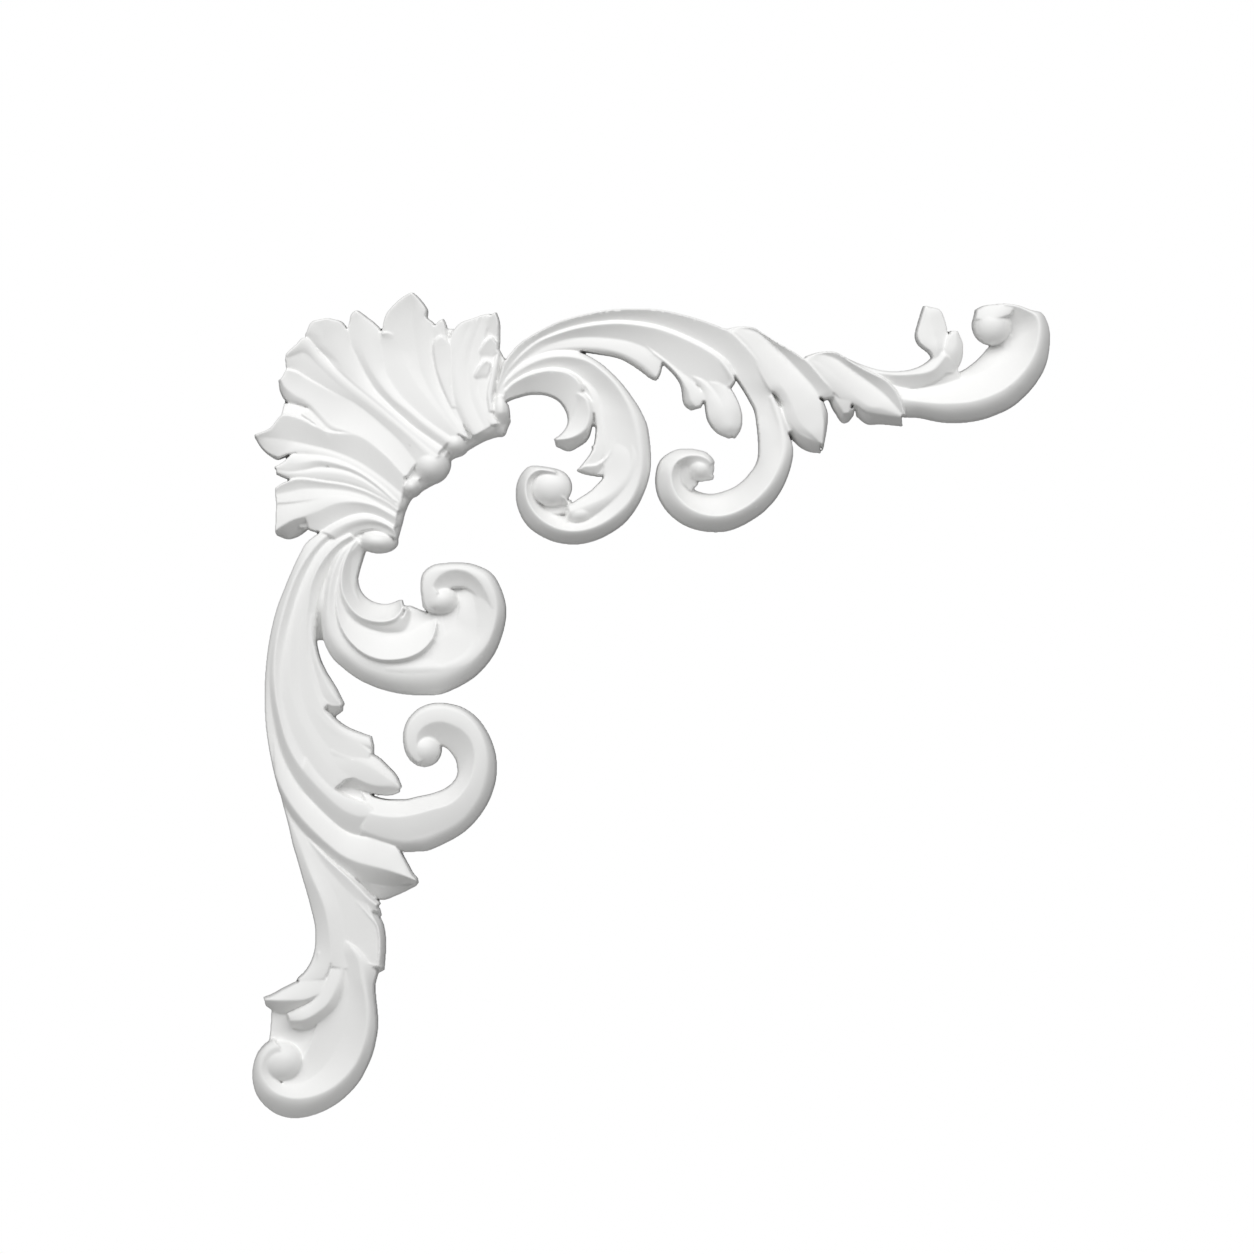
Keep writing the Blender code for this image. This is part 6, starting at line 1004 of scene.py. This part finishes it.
def left_inner(board):
    """The left arm's scroll beside the shell, with its curls."""
    # bed under the meeting of the bands
    board.band(
        ([(346, 526), (346, 536), (346, 546)], (10.6, 10.6, 10.6)),
        ([(370, 526), (368, 536), (366, 546)], (10.6, 10.6, 10.6)),
        swell=0)
    pole = (445, 600)
    sweep = [(357, 541), (343, 554), (335, 570), (331, 586), (329.5, 602), (330, 618), (334, 634),
             (343, 648), (355, 659), (370, 667), (386, 671), (402, 672.5), (418, 672.5),
             (432, 671.5)]
    foot = [(360, 544), (350, 558), (343, 573), (339, 590), (338, 606), (340.5, 622), (347, 637),
            (357, 649), (369, 657.5), (382, 661.5), (397, 662), (412, 659), (425, 652), (435, 641)]
    outer = ([(356, 539), (340, 551), (331, 567), (326, 584), (323.5, 601), (322, 620),
             (323.5, 640), (331, 656), (343, 668), (358, 679), (375, 687), (392, 692), (408, 694.5),
             (426, 695)] + volute(pole, 90, [92.5, 82.5, 73.5, 66, 61.5, 56.7, 53, 45.5, 39.5, 36.5,
             36.5, 34.5, 28.5, 24, 22.8, 21, 17.5], way=-1, step=20))
    crest = (sweep + volute(pole, 90, [71, 67, 61.5, 56, 52, 49, 46, 40.5, 35.5, 32.5, 32, 30, 25,
             21.5, 20, 18.5, 15], way=-1, step=20))
    board.band(
        (outer,
         (11, 10.8, 10.6, 10.6, 10.6, 10.6, 10, 9, 8, 7.4, 7, 7, 7, 7, 7, 6.6, 6.6, 7, 8.4, 9.4, 10,
          10.6, 11, 11, 11, 11, 10.6, 10, 9, 8, 7)),
        (crest,
         (12.4, 13.2, 13.8, 14, 14, 14, 13.8, 13.4, 13, 12.6, 12.4, 12.3, 12.3, 12.4, 12.6, 12.8,
          13, 13.2, 13.5, 13.8, 14, 14, 14, 14, 14, 14, 14, 13.8, 13.6, 13.4, 13)),
        swell=1.4)
    board.band(
        (sweep, (12.4, 13.2, 13.8, 14, 14, 14, 13.8, 13.4, 13, 12.6, 12.4, 12.3, 12.3, 12.4)),
        (foot, (11.6, 12, 12.2, 12.4, 12.6, 12.7, 12.8, 12.9, 12.9, 12.8, 12.6, 12, 11.2, 10.4)),
        swell=0.1)
    # inside of the scroll: flute, then the dark slope under its top
    board.band(
        (sweep[10:] + volute(pole, 90, [71, 67, 61.5, 56, 52, 49, 46], way=-1, step=20),
         (12.4, 12.3, 12.3, 12.4, 12.6, 12.8, 13, 13.2, 13.5, 13.8, 14)),
        ([(388, 666), (403, 667), (419, 666.5), (433, 665)] + volute(pole, 90, [64, 57, 47, 37, 31,
          28, 25], way=-1, step=20),
         (12.6, 12.5, 12.4, 12.3, 12.3, 12.1, 11.6, 11.2, 10.8, 10.2, 9.4)),
        ([(390, 661), (407, 659.5), (420, 654), (430, 646)] + volute(pole, 90, [34, 27, 20, 16, 14,
          13, 13], way=-1, step=20),
         (12.6, 12, 11.2, 10.6, 10.2, 9.8, 9.6, 9.2, 8.8, 8.4, 8.2)),
        swell=(0.3, -0.1))
    board.band(
        (volute(pole, 10, [52, 49, 46, 40.5, 35.5, 32.5, 32, 30, 25, 21.5], way=-1, step=20),
         (13.4, 13.8, 14, 14, 14, 14, 14, 14, 14, 13.8)),
        (volute(pole, 10, [48, 42, 39, 36, 32, 27.5, 22.5, 18, 14, 12], way=-1, step=20),
         (13.2, 14, 14.4, 14.5, 14.5, 14.5, 14.5, 14.5, 14.5, 14.4)),
        (volute(pole, 10, [42, 31, 24, 16, 12, 10, 9, 8, 7, 6], way=-1, step=20),
         (12.2, 11.2, 10.8, 10.8, 11, 11.4, 12, 12.8, 13.6, 14)),
        swell=(0.2, -0.3))
    board.band(
        (volute(pole, -130, [30, 25, 21.5, 20, 18.5, 15], way=-1, step=20),
         (14, 14, 13.8, 13.4, 12.6, 11)),
        (volute(pole, -130, [10, 9, 8, 8, 8, 8], way=-1, step=20),
         (14.5, 14.5, 14.5, 14.5, 14.3, 14)),
        swell=0.2)
    board.band(
        ([(428, 652), (437, 644), (444, 634)], (10.6, 10.4, 10.2)),
        ([(420, 640), (430, 624), (440, 610)], (9.4, 9.4, 9)),
        swell=0)
    board.band(
        ([(448, 580), (446, 598), (438, 616), (436, 636)], (8.4, 8.2, 9, 10)),
        ([(472, 586), (470, 602), (466, 618), (458, 638)], (8.4, 8.6, 9.6, 10.6)),
        swell=0)
    board.band(
        ([(422, 606), (429, 613), (436, 620)], (8.4, 8.6, 9)),
        ([(432, 600), (439, 607), (446, 614)], (8.4, 8.4, 8.8)),
        swell=0)
    board.boss((441, 600), 17, 14.8, 7, 14.6)
    # lobe P
    board.band(
        (foot, (11.6, 12, 12.2, 12.4, 12.6, 12.7, 12.8, 12.9, 12.9, 12.8, 12.6, 12, 11.2, 10.4)),
        ([(359, 543), (348.5, 557), (341.5, 572), (337, 589), (336.5, 605), (339, 621),
          (345.5, 635.5), (356, 647.5), (368.5, 655.5), (382, 659.5), (397, 659.5), (411, 656.5),
          (423.5, 649.5), (434, 637)],
         (12.2, 12.8, 13.2, 13.6, 14, 14.4, 14.7, 14.9, 14.9, 14.9, 14.9, 14.7, 14.2, 13)),
        swell=0)
    board.band(
        ([(359, 543), (348.5, 557), (341.5, 572), (337, 589), (336.5, 605), (339, 621),
          (345.5, 635.5), (356, 647.5), (368.5, 655.5), (382, 659.5), (397, 659.5), (411, 656.5),
          (423.5, 649.5), (434, 637), (437, 624)],
         (12.2, 12.8, 13.2, 13.6, 14, 14.4, 14.7, 14.9, 14.9, 14.9, 14.9, 14.7, 14.2, 13, 11.6)),
        ([(361, 545), (352, 558), (345.5, 572), (342.5, 587), (343.5, 601), (347, 613.5),
          (354, 624), (364, 631), (376, 635.5), (388, 636.5), (400, 635), (411, 631), (421, 625),
          (429, 621), (436, 617)],
         (11, 11.4, 11.6, 11.8, 12, 12, 12, 11.6, 11, 10.4, 10, 9.6, 9.2, 9, 9)),
        ([(366, 548), (362, 560), (358, 574), (356, 588), (359, 600), (364, 608), (371, 613),
          (378, 616), (386, 617), (394, 615), (401, 612), (405, 608), (408, 606), (409, 606),
          (410, 606)],
         (9, 9, 9, 9, 9, 9, 9, 9, 8.6, 8, 7.6, 7.4, 7.4, 7, 7)),
        swell=(-0.1, 0))
    # small curl
    rim = [(357, 540), (350, 550), (344.5, 563), (342, 578), (343.5, 593), (350, 606), (358, 614.5),
           (368, 619.5), (381, 621.5), (392, 619.5), (399, 614), (403, 606)]
    board.band(
        ([(355, 541), (347, 552), (341, 565), (338.5, 580), (340, 596), (347, 610), (357, 619),
          (367, 623), (381, 625), (394, 622.5), (401.5, 616), (405, 606)],
         (11, 11.4, 11.8, 12, 12, 12, 12, 12, 11.8, 11.6, 11.2, 11)),
        (rim, (12.4, 13.4, 14, 14.3, 14.3, 14.2, 14.1, 13.9, 13.6, 13.2, 12.4, 11.6)),
        ([(364, 546), (360, 555), (357.5, 566), (357, 577), (359, 588), (364, 596), (371, 601),
          (379, 603.5), (387, 604), (394, 602), (399, 600), (402, 600)],
         (10, 9, 8.4, 7.6, 6.6, 5.6, 4.4, 3.4, 3, 3, 4, 6)),
        swell=(0.2, -0.2))
    board.band(
        ([(340, 599), (347.5, 610.5), (357, 619.5), (368, 623.5), (381, 625.5), (394, 623),
          (403, 616), (406, 606)],
         (12.2, 12.2, 12.2, 12, 11.8, 11.6, 11.4, 11)),
        ([(340, 607), (347, 617), (356, 626), (368, 631.5), (381, 635), (396, 635.5), (408, 634),
          (410, 612)],
         (9.6, 7.6, 6.6, 8, 8.6, 8.6, 8, 8.6)),
        swell=0.5)


def left_leaves(board):
    """The leaves low on the left arm."""
    # leaf H
    board.band(
        ([(273, 768), (279, 792), (290, 815)], (10.4, 9.8, 9.6)),
        ([(276, 740), (288, 768), (303, 792)], (11, 11, 11)),
        swell=0.2)
    board.band(
        ([(275.5, 778), (281, 797), (290, 815), (303, 832), (318, 847), (333, 861), (347, 872),
          (360, 880), (375, 884), (392, 886), (408, 884), (418, 883)],
         (10.4, 10, 9.8, 9.6, 9.4, 9, 8.6, 8, 7, 6, 5, 6)),
        ([(275, 772), (281, 785), (290, 801), (301, 816), (314, 830), (328, 843), (342, 854),
          (357, 861), (373, 865.5), (390, 870), (404, 875), (417, 880.5)],
         (11.6, 12.4, 12.9, 13.1, 13.2, 13.3, 13.3, 13.3, 13.2, 13, 12.6, 11.6)),
        ([(274, 735), (281, 754), (290, 773), (303, 792), (317, 807), (330, 820), (343, 830.5),
          (356, 836), (372, 838), (387, 843), (398, 849), (405, 860), (412, 873), (417, 879)],
         (11.4, 11.3, 11.2, 11, 11, 11, 10.8, 10.8, 10.8, 10.8, 10.8, 10.8, 10.8, 10.8)),
        swell=(0.4, 0.2))
    board.band(
        ([(352, 876), (366, 882), (382, 886), (398, 886.5), (417, 883)], (8.4, 7.6, 6.6, 5.6, 6)),
        ([(360, 882), (366, 893), (381, 900.5), (398, 895), (416, 886)], (3, 2.5, 2, 2.5, 4)),
        swell=0.2)
    # leaf J and the stem down to the tail
    board.band(
        ([(279, 790), (283, 806), (288, 825), (292.5, 845), (297, 860), (301.5, 876), (306.5, 893),
          (311, 910), (314.5, 926), (315, 943), (312.5, 957), (306, 970), (296, 980)],
         (10, 9.8, 9.6, 9.4, 9.2, 9.2, 9.2, 9.2, 9.4, 9.6, 10, 10.4, 10.6)),
        ([(281, 795), (288, 814), (296, 834), (303, 852), (309, 868), (315, 882), (321, 895),
          (326, 909), (329, 923), (331, 938), (332, 952), (330, 966), (325, 978)],
         (10.2, 10.3, 10.6, 11, 11.6, 12.2, 12.6, 12.8, 12.8, 12.7, 12.6, 12.4, 12)),
        swell=0.2)
    board.band(
        ([(281, 795), (288, 814), (296, 834), (303, 852), (309, 868), (315, 882), (321, 895),
          (326, 909), (329, 923), (331, 938), (332, 952), (332, 966)],
         (10.2, 10.3, 10.6, 11, 11.6, 12.2, 12.6, 12.8, 12.8, 12.7, 12.6, 12.4)),
        ([(283, 796), (292, 816), (303, 836), (313, 853), (322, 868), (330, 883), (337, 898),
          (342, 912), (345, 926), (347, 940), (348, 954), (349, 968)],
         (10, 10, 10.4, 10.8, 11.2, 11.5, 11.6, 11.6, 11.6, 11.6, 11.6, 11.6)),
        ([(285, 797), (297, 820), (312, 840), (327, 856), (341, 871), (353, 885), (364, 899),
          (372, 912), (379, 926), (381.5, 940), (381.5, 953), (380, 966)],
         (9.8, 9.8, 10, 10.8, 11.4, 11.8, 12, 12.2, 12.2, 12.2, 12.2, 12)),
        swell=(-0.1, -0.1))
    board.band(
        ([(306, 835), (319, 848), (334, 861.5), (348, 873), (361, 885), (371, 896), (380, 904)],
         (9.4, 9.4, 9.2, 9, 9.4, 10, 10.6)),
        ([(308, 838), (321, 851.5), (335, 865), (349, 877.5), (360, 888.5), (369, 898), (378, 905)],
         (10.4, 11.6, 12.4, 12.8, 12.8, 12.8, 12.2)),
        ([(314, 852), (327, 867), (340, 881), (352, 893), (361, 902), (369, 908), (377, 911)],
         (10.8, 11.2, 11.6, 11.8, 11.8, 11.6, 11)),
        swell=(0.3, -0.1))
    board.band(
        ([(354, 898), (363, 906), (370, 910), (379, 909)], (11.8, 11.6, 11.4, 11)),
        ([(360, 908), (367, 914), (373, 918), (381, 916)], (9, 6, 4, 5)),
        swell=0.3)
    board.band(
        ([(356, 901), (362, 907), (369, 915), (377, 925), (379.5, 940), (379, 955), (378, 966)],
         (12, 12.2, 12.6, 13, 13, 12.8, 12.4)),
        ([(366, 908), (376, 914), (382, 923), (384.5, 934), (385, 946), (384.5, 958), (383.5, 969)],
         (10, 8, 8, 8, 8, 8, 8)),
        swell=0.6)
    board.band(
        ([(346, 943), (354, 952), (362, 959), (371, 963.5), (382, 966)],
         (11.6, 12.2, 12.4, 12.4, 12)),
        ([(355, 958), (361, 966), (368, 974), (376, 974), (384, 970)], (7, 4, 3, 3, 5)),
        swell=0.4)


def left_tail(board):
    """The lowest curl of the left arm."""
    outer = [(368, 955), (377, 970), (374.5, 985), (375, 998), (376.5, 1012), (377, 1027),
             (375, 1041), (371.5, 1055), (366, 1068), (359, 1081), (350, 1092), (339, 1102),
             (326, 1110), (311, 1116), (295, 1118.5), (280, 1116), (267, 1108), (257, 1096),
             (252.5, 1082), (252.5, 1068), (256.5, 1055), (264, 1045), (274, 1038.5)]
    crest = [(346, 940), (353, 950), (359, 963), (362, 980), (365, 995), (366.5, 1010),
             (366.5, 1024), (364.5, 1038), (360.5, 1052), (354, 1065), (345, 1076), (334, 1085.5),
             (322, 1092), (309, 1096), (295, 1097), (282, 1094), (272, 1088), (265, 1079),
             (262, 1070), (263, 1061), (267, 1054), (273, 1049), (280, 1046)]
    inner = [(338, 945), (344, 957), (347, 972), (349, 988), (349, 1003), (347, 1018), (344, 1031),
             (339, 1043), (334, 1053), (328, 1062), (321, 1070), (314, 1076), (306, 1081),
             (298, 1084), (290, 1085), (283, 1083), (278, 1080), (275, 1076), (274, 1071),
             (275, 1067), (278, 1063), (282, 1061), (286, 1060)]
    board.band(
        (outer,
         (10, 10, 10, 10, 10, 9.8, 9.4, 8.8, 8, 7.4, 7, 6.8, 6.8, 6.8, 7, 7.2, 7.8, 8.8, 9.6, 10,
          10.4, 10.6, 10.6)),
        (crest,
         (11.8, 12.8, 13.2, 13.4, 13.4, 13.4, 13.4, 13.4, 13.4, 13.4, 13.4, 13.4, 13.4, 13.4, 13.4,
          13.4, 13.3, 13.2, 13.1, 13.1, 13.1, 13.1, 13)),
        (inner,
         (11.8, 11.6, 11.2, 10.9, 10.7, 10.5, 10.3, 10.1, 10, 9.9, 9.8, 9.7, 9.6, 9.6, 9.8, 10,
          10.4, 10.8, 11.4, 12, 12.4, 12.6, 12.6)),
        swell=(1.3, -0.2))
    board.band(
        (inner[2:16], (11.2, 10.9, 10.7, 10.5, 10.3, 10.1, 10, 9.9, 9.8, 9.7, 9.6, 9.6, 9.8, 10)),
        ([(334, 980), (330, 996), (326, 1008), (320, 1019), (315, 1029), (312, 1037), (309, 1045),
          (306, 1052), (303, 1058), (299, 1063), (295, 1067), (290, 1070), (285, 1072),
          (280, 1073)],
         (10.8, 10.2, 9.8, 9.4, 9, 8.8, 8.6, 8.4, 8.2, 8, 8, 8, 8.4, 9)),
        swell=-0.2)
    board.boss((280, 1061), 22, 20, 7, 13.6)
    # leaf K
    board.band(
        ([(318, 952), (316, 978), (302, 1008)], (11.2, 11, 8)),
        ([(352, 952), (352, 988), (330, 1022)], (11.2, 11, 9)),
        swell=0)
    board.band(
        ([(320, 970), (306, 978), (293, 983.5), (282, 989), (271, 995), (262.5, 998)],
         (11, 11, 10.8, 10.6, 10.4, 10.2)),
        ([(331, 984), (319, 993), (305, 998.5), (291, 999.5), (277, 999.5), (264, 999)],
         (11.4, 12.4, 12.7, 12.5, 12, 11)),
        ([(328, 998), (315, 1005), (303, 1010), (291, 1014.5), (279, 1015), (265, 1006)],
         (9, 7.4, 6.4, 5.4, 5, 6)),
        swell=(0.3, 0.5))
    board.band(
        ([(333, 962), (328, 978), (321, 992), (311, 1002), (298, 1009), (287.5, 1014)],
         (11.3, 11.9, 12.2, 12, 11.6, 10.8)),
        ([(340, 964), (337, 984), (329, 1001), (317, 1012), (303, 1019), (289, 1020)],
         (11.3, 12.7, 13.4, 13.4, 13, 11.4)),
        ([(346, 966), (346, 990), (340, 1008), (328, 1022), (311, 1032), (292, 1028)],
         (11.4, 9.4, 7.6, 6, 5, 6)),
        swell=(0.2, 0.7))
    board.band(
        ([(271, 1008), (286, 1014), (304, 1022), (322, 1018)], (6, 6, 7, 8.6)),
        ([(270, 1030), (284, 1036), (300, 1042), (316, 1036)], (6, 6, 6.6, 8.6)),
        ([(268, 1046), (282, 1054), (298, 1064), (314, 1060)], (7, 7, 7.4, 8.4)),
        swell=0)


def carve_all(board):
    """The whole relief, part by part."""
    shell(board)
    top_main(board)
    top_inner(board)
    top_leaves(board)
    top_tail(board)
    left_main(board)
    left_second(board)
    left_inner(board)
    left_leaves(board)
    left_tail(board)


def casting_mesh(grid, cell):
    """A closed mesh under the grid of heights: the relief in front, walls down to a flat back."""
    inside = grid > 0.0
    solid = inside[:-1, :-1] | inside[1:, :-1] | inside[:-1, 1:] | inside[1:, 1:]
    used = np.zeros_like(inside)
    for j in (0, 1):
        for i in (0, 1):
            used[j:j + solid.shape[0], i:i + solid.shape[1]] |= solid
    y, x = np.mgrid[0:grid.shape[0], 0:grid.shape[1]].astype(float)
    rim = used & ~inside
    shift_x, shift_y, shares = np.zeros(grid.shape), np.zeros(grid.shape), np.zeros(grid.shape)
    for dj, di in ((0, 1), (0, -1), (1, 0), (-1, 0), (1, 1), (1, -1), (-1, 1), (-1, -1)):
        other = np.roll(grid, (-dj, -di), (0, 1))
        meets = rim & (other > 0)
        part = np.where(meets, -grid / np.maximum(other - grid, 1e-6), 0)
        weight = np.where(meets, 1.0 if 0 in (dj, di) else 0.3, 0)
        shift_x += weight * part * di
        shift_y += weight * part * dj
        shares += weight
    x = x + np.where(rim, shift_x / np.maximum(shares, 1e-6), 0)
    y = y + np.where(rim, shift_y / np.maximum(shares, 1e-6), 0)
    high = np.where(inside, grid, 0.0)

    board_x = (FIELD_LEFT + x * cell - ORIGIN_X) * UNIT_X
    board_z = (ORIGIN_Y - FIELD_TOP - y * cell) * UNIT_Z
    front = np.full(grid.shape, -1)
    front[used] = np.arange(used.sum())
    back = front.copy()
    back[inside] = used.sum() + np.arange(inside.sum())
    places = np.column_stack([board_x[used], -high[used] * UNIT_H, board_z[used]])
    flat = np.column_stack([board_x[inside], np.zeros(inside.sum()), board_z[inside]])

    quads = []
    for ids, turn in ((front, 1), (back, -1)):
        corners = np.stack([ids[:-1, :-1], ids[1:, :-1], ids[1:, 1:], ids[:-1, 1:]], -1)[solid]
        quads.append(corners[:, ::turn])
    mesh = bpy.data.meshes.new("corner_applique")
    mesh.from_pydata(np.vstack([places, flat]).tolist(), [], np.vstack(quads).tolist())
    mesh.validate()
    mesh.update()
    return mesh


def thinned(mesh, most):
    """The mesh as one object, with its faces thinned to at most so many triangles."""
    piece = bpy.data.objects.new("casting", mesh)
    bpy.context.scene.collection.objects.link(piece)
    thin = piece.modifiers.new("thin", "DECIMATE")
    mesh.calc_loop_triangles()
    thin.ratio = min(1.0, most / len(mesh.loop_triangles))
    bpy.context.view_layer.update()
    done = bpy.data.meshes.new_from_object(piece.evaluated_get(bpy.context.evaluated_depsgraph_get()))
    piece.modifiers.remove(thin)
    piece.data = done
    bpy.data.meshes.remove(mesh)
    done.name = "casting"
    return piece


def linear(hex_colour):
    """An sRGB hex colour as linear red, green, blue and full alpha."""
    values = [int(hex_colour[i:i + 2], 16) / 255 for i in (0, 2, 4)]
    return tuple(v / 12.92 if v <= 0.04045 else ((v + 0.055) / 1.055) ** 2.4 for v in values) + (1.0,)


def add_node(tree, kind, links=(), **settings):
    """A node of that kind with its settings; each link is (from socket, to input name)."""
    node = tree.nodes.new(kind)
    for name, value in settings.items():
        if name in node.inputs:
            node.inputs[name].default_value = value
        else:
            setattr(node, name, value)
    for source, target in links:
        tree.links.new(source, node.inputs[target])
    return node


def satin_primer():
    """Sprayed satin primer on moulded polyurethane: even white, with a faint orange peel."""
    finish = bpy.data.materials.new("satin white primer")
    finish.use_nodes = True
    tree = finish.node_tree
    shader = tree.nodes["Principled BSDF"]
    shader.inputs["Base Color"].default_value = linear("EDEDEC")
    shader.inputs["Roughness"].default_value = 0.5
    shader.inputs["IOR"].default_value = 1.48
    place = add_node(tree, "ShaderNodeTexCoord")
    peel = add_node(tree, "ShaderNodeTexNoise", [(place.outputs["Object"], "Vector")],
                    Scale=1 / PEEL_SIZE, Detail=3.0)
    bump = add_node(tree, "ShaderNodeBump", [(peel.outputs["Fac"], "Height")],
                    Strength=0.25, Distance=PEEL_DEPTH)
    tree.links.new(bump.outputs["Normal"], shader.inputs["Normal"])
    return finish


def pale_floor():
    """A plain pale floor below the piece, out of the camera's view."""
    bpy.ops.mesh.primitive_plane_add(size=1.4, location=(0.06, 0.0, -0.80))
    floor = bpy.context.active_object
    floor.name = "floor"
    paint = bpy.data.materials.new("matt white floor paint")
    paint.use_nodes = True
    shader = paint.node_tree.nodes["Principled BSDF"]
    shader.inputs["Base Color"].default_value = linear("F2F2F1")
    shader.inputs["Roughness"].default_value = 0.8
    floor.data.materials.append(paint)


def soft_light(name, towards, distance, width, height, watts):
    """A wide soft box that looks at the middle of the piece from that direction."""
    middle = np.array([VIEW_X, 0.0, VIEW_Z])
    way = np.array(towards, float)
    way /= np.linalg.norm(way)
    lamp = bpy.data.lights.new(name, "AREA")
    lamp.shape = "RECTANGLE"
    lamp.size = width
    lamp.size_y = height
    lamp.energy = watts
    box = bpy.data.objects.new(name, lamp)
    box.location = middle + way * distance
    box.rotation_euler = Vector(-way).to_track_quat("-Z", "Y").to_euler()
    bpy.context.scene.collection.objects.link(box)


def studio():
    bpy.context.scene.view_settings.view_transform = "Standard"
    world = bpy.data.worlds.new("white studio")
    world.use_nodes = True
    bpy.context.scene.world = world
    tree = world.node_tree
    tree.nodes.clear()
    path = add_node(tree, "ShaderNodeLightPath")
    fill = add_node(tree, "ShaderNodeBackground", Color=(1, 1, 1, 1), Strength=FILL)
    seen = add_node(tree, "ShaderNodeBackground", Color=(1, 1, 1, 1), Strength=1.0)
    mix = add_node(tree, "ShaderNodeMixShader", [
        (path.outputs["Is Camera Ray"], "Fac"),
        (fill.outputs["Background"], 1),
        (seen.outputs["Background"], 2)])
    add_node(tree, "ShaderNodeOutputWorld", [(mix.outputs["Shader"], "Surface")])
    soft_light("top soft box", KEY_FROM, KEY_AWAY, KEY_WIDTH, KEY_HEIGHT, KEY)


def camera():
    """Square on to the piece, far enough for nearly parallel sight."""
    lens = bpy.data.cameras.new("camera")
    lens.sensor_width = SENSOR
    lens.sensor_fit = "HORIZONTAL"
    lens.lens = SENSOR * (CAMERA_DISTANCE - MID_RELIEF) / (PHOTO_SIDE * UNIT_X)
    eye = bpy.data.objects.new("camera", lens)
    eye.location = (VIEW_X, -CAMERA_DISTANCE, VIEW_Z)
    eye.rotation_euler = (math.pi / 2, 0, 0)
    bpy.context.scene.collection.objects.link(eye)
    bpy.context.scene.camera = eye


board = Board()
carve_all(board)
relief = sanded(filled(board.grid()), SANDED)[::2, ::2]
casting = thinned(casting_mesh(relief, 2 * FINE_CELL), MOST_FACES)
casting.data.materials.clear()
casting.data.materials.append(satin_primer())
# smooth all round but for the flat back, so that its rim stays a hard edge
casting.data.polygons.foreach_set("use_smooth", [face.normal.y < FACES_BACK for face in casting.data.polygons])
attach(casting, "root")
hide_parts("corner_applique")
pale_floor()
studio()
camera()
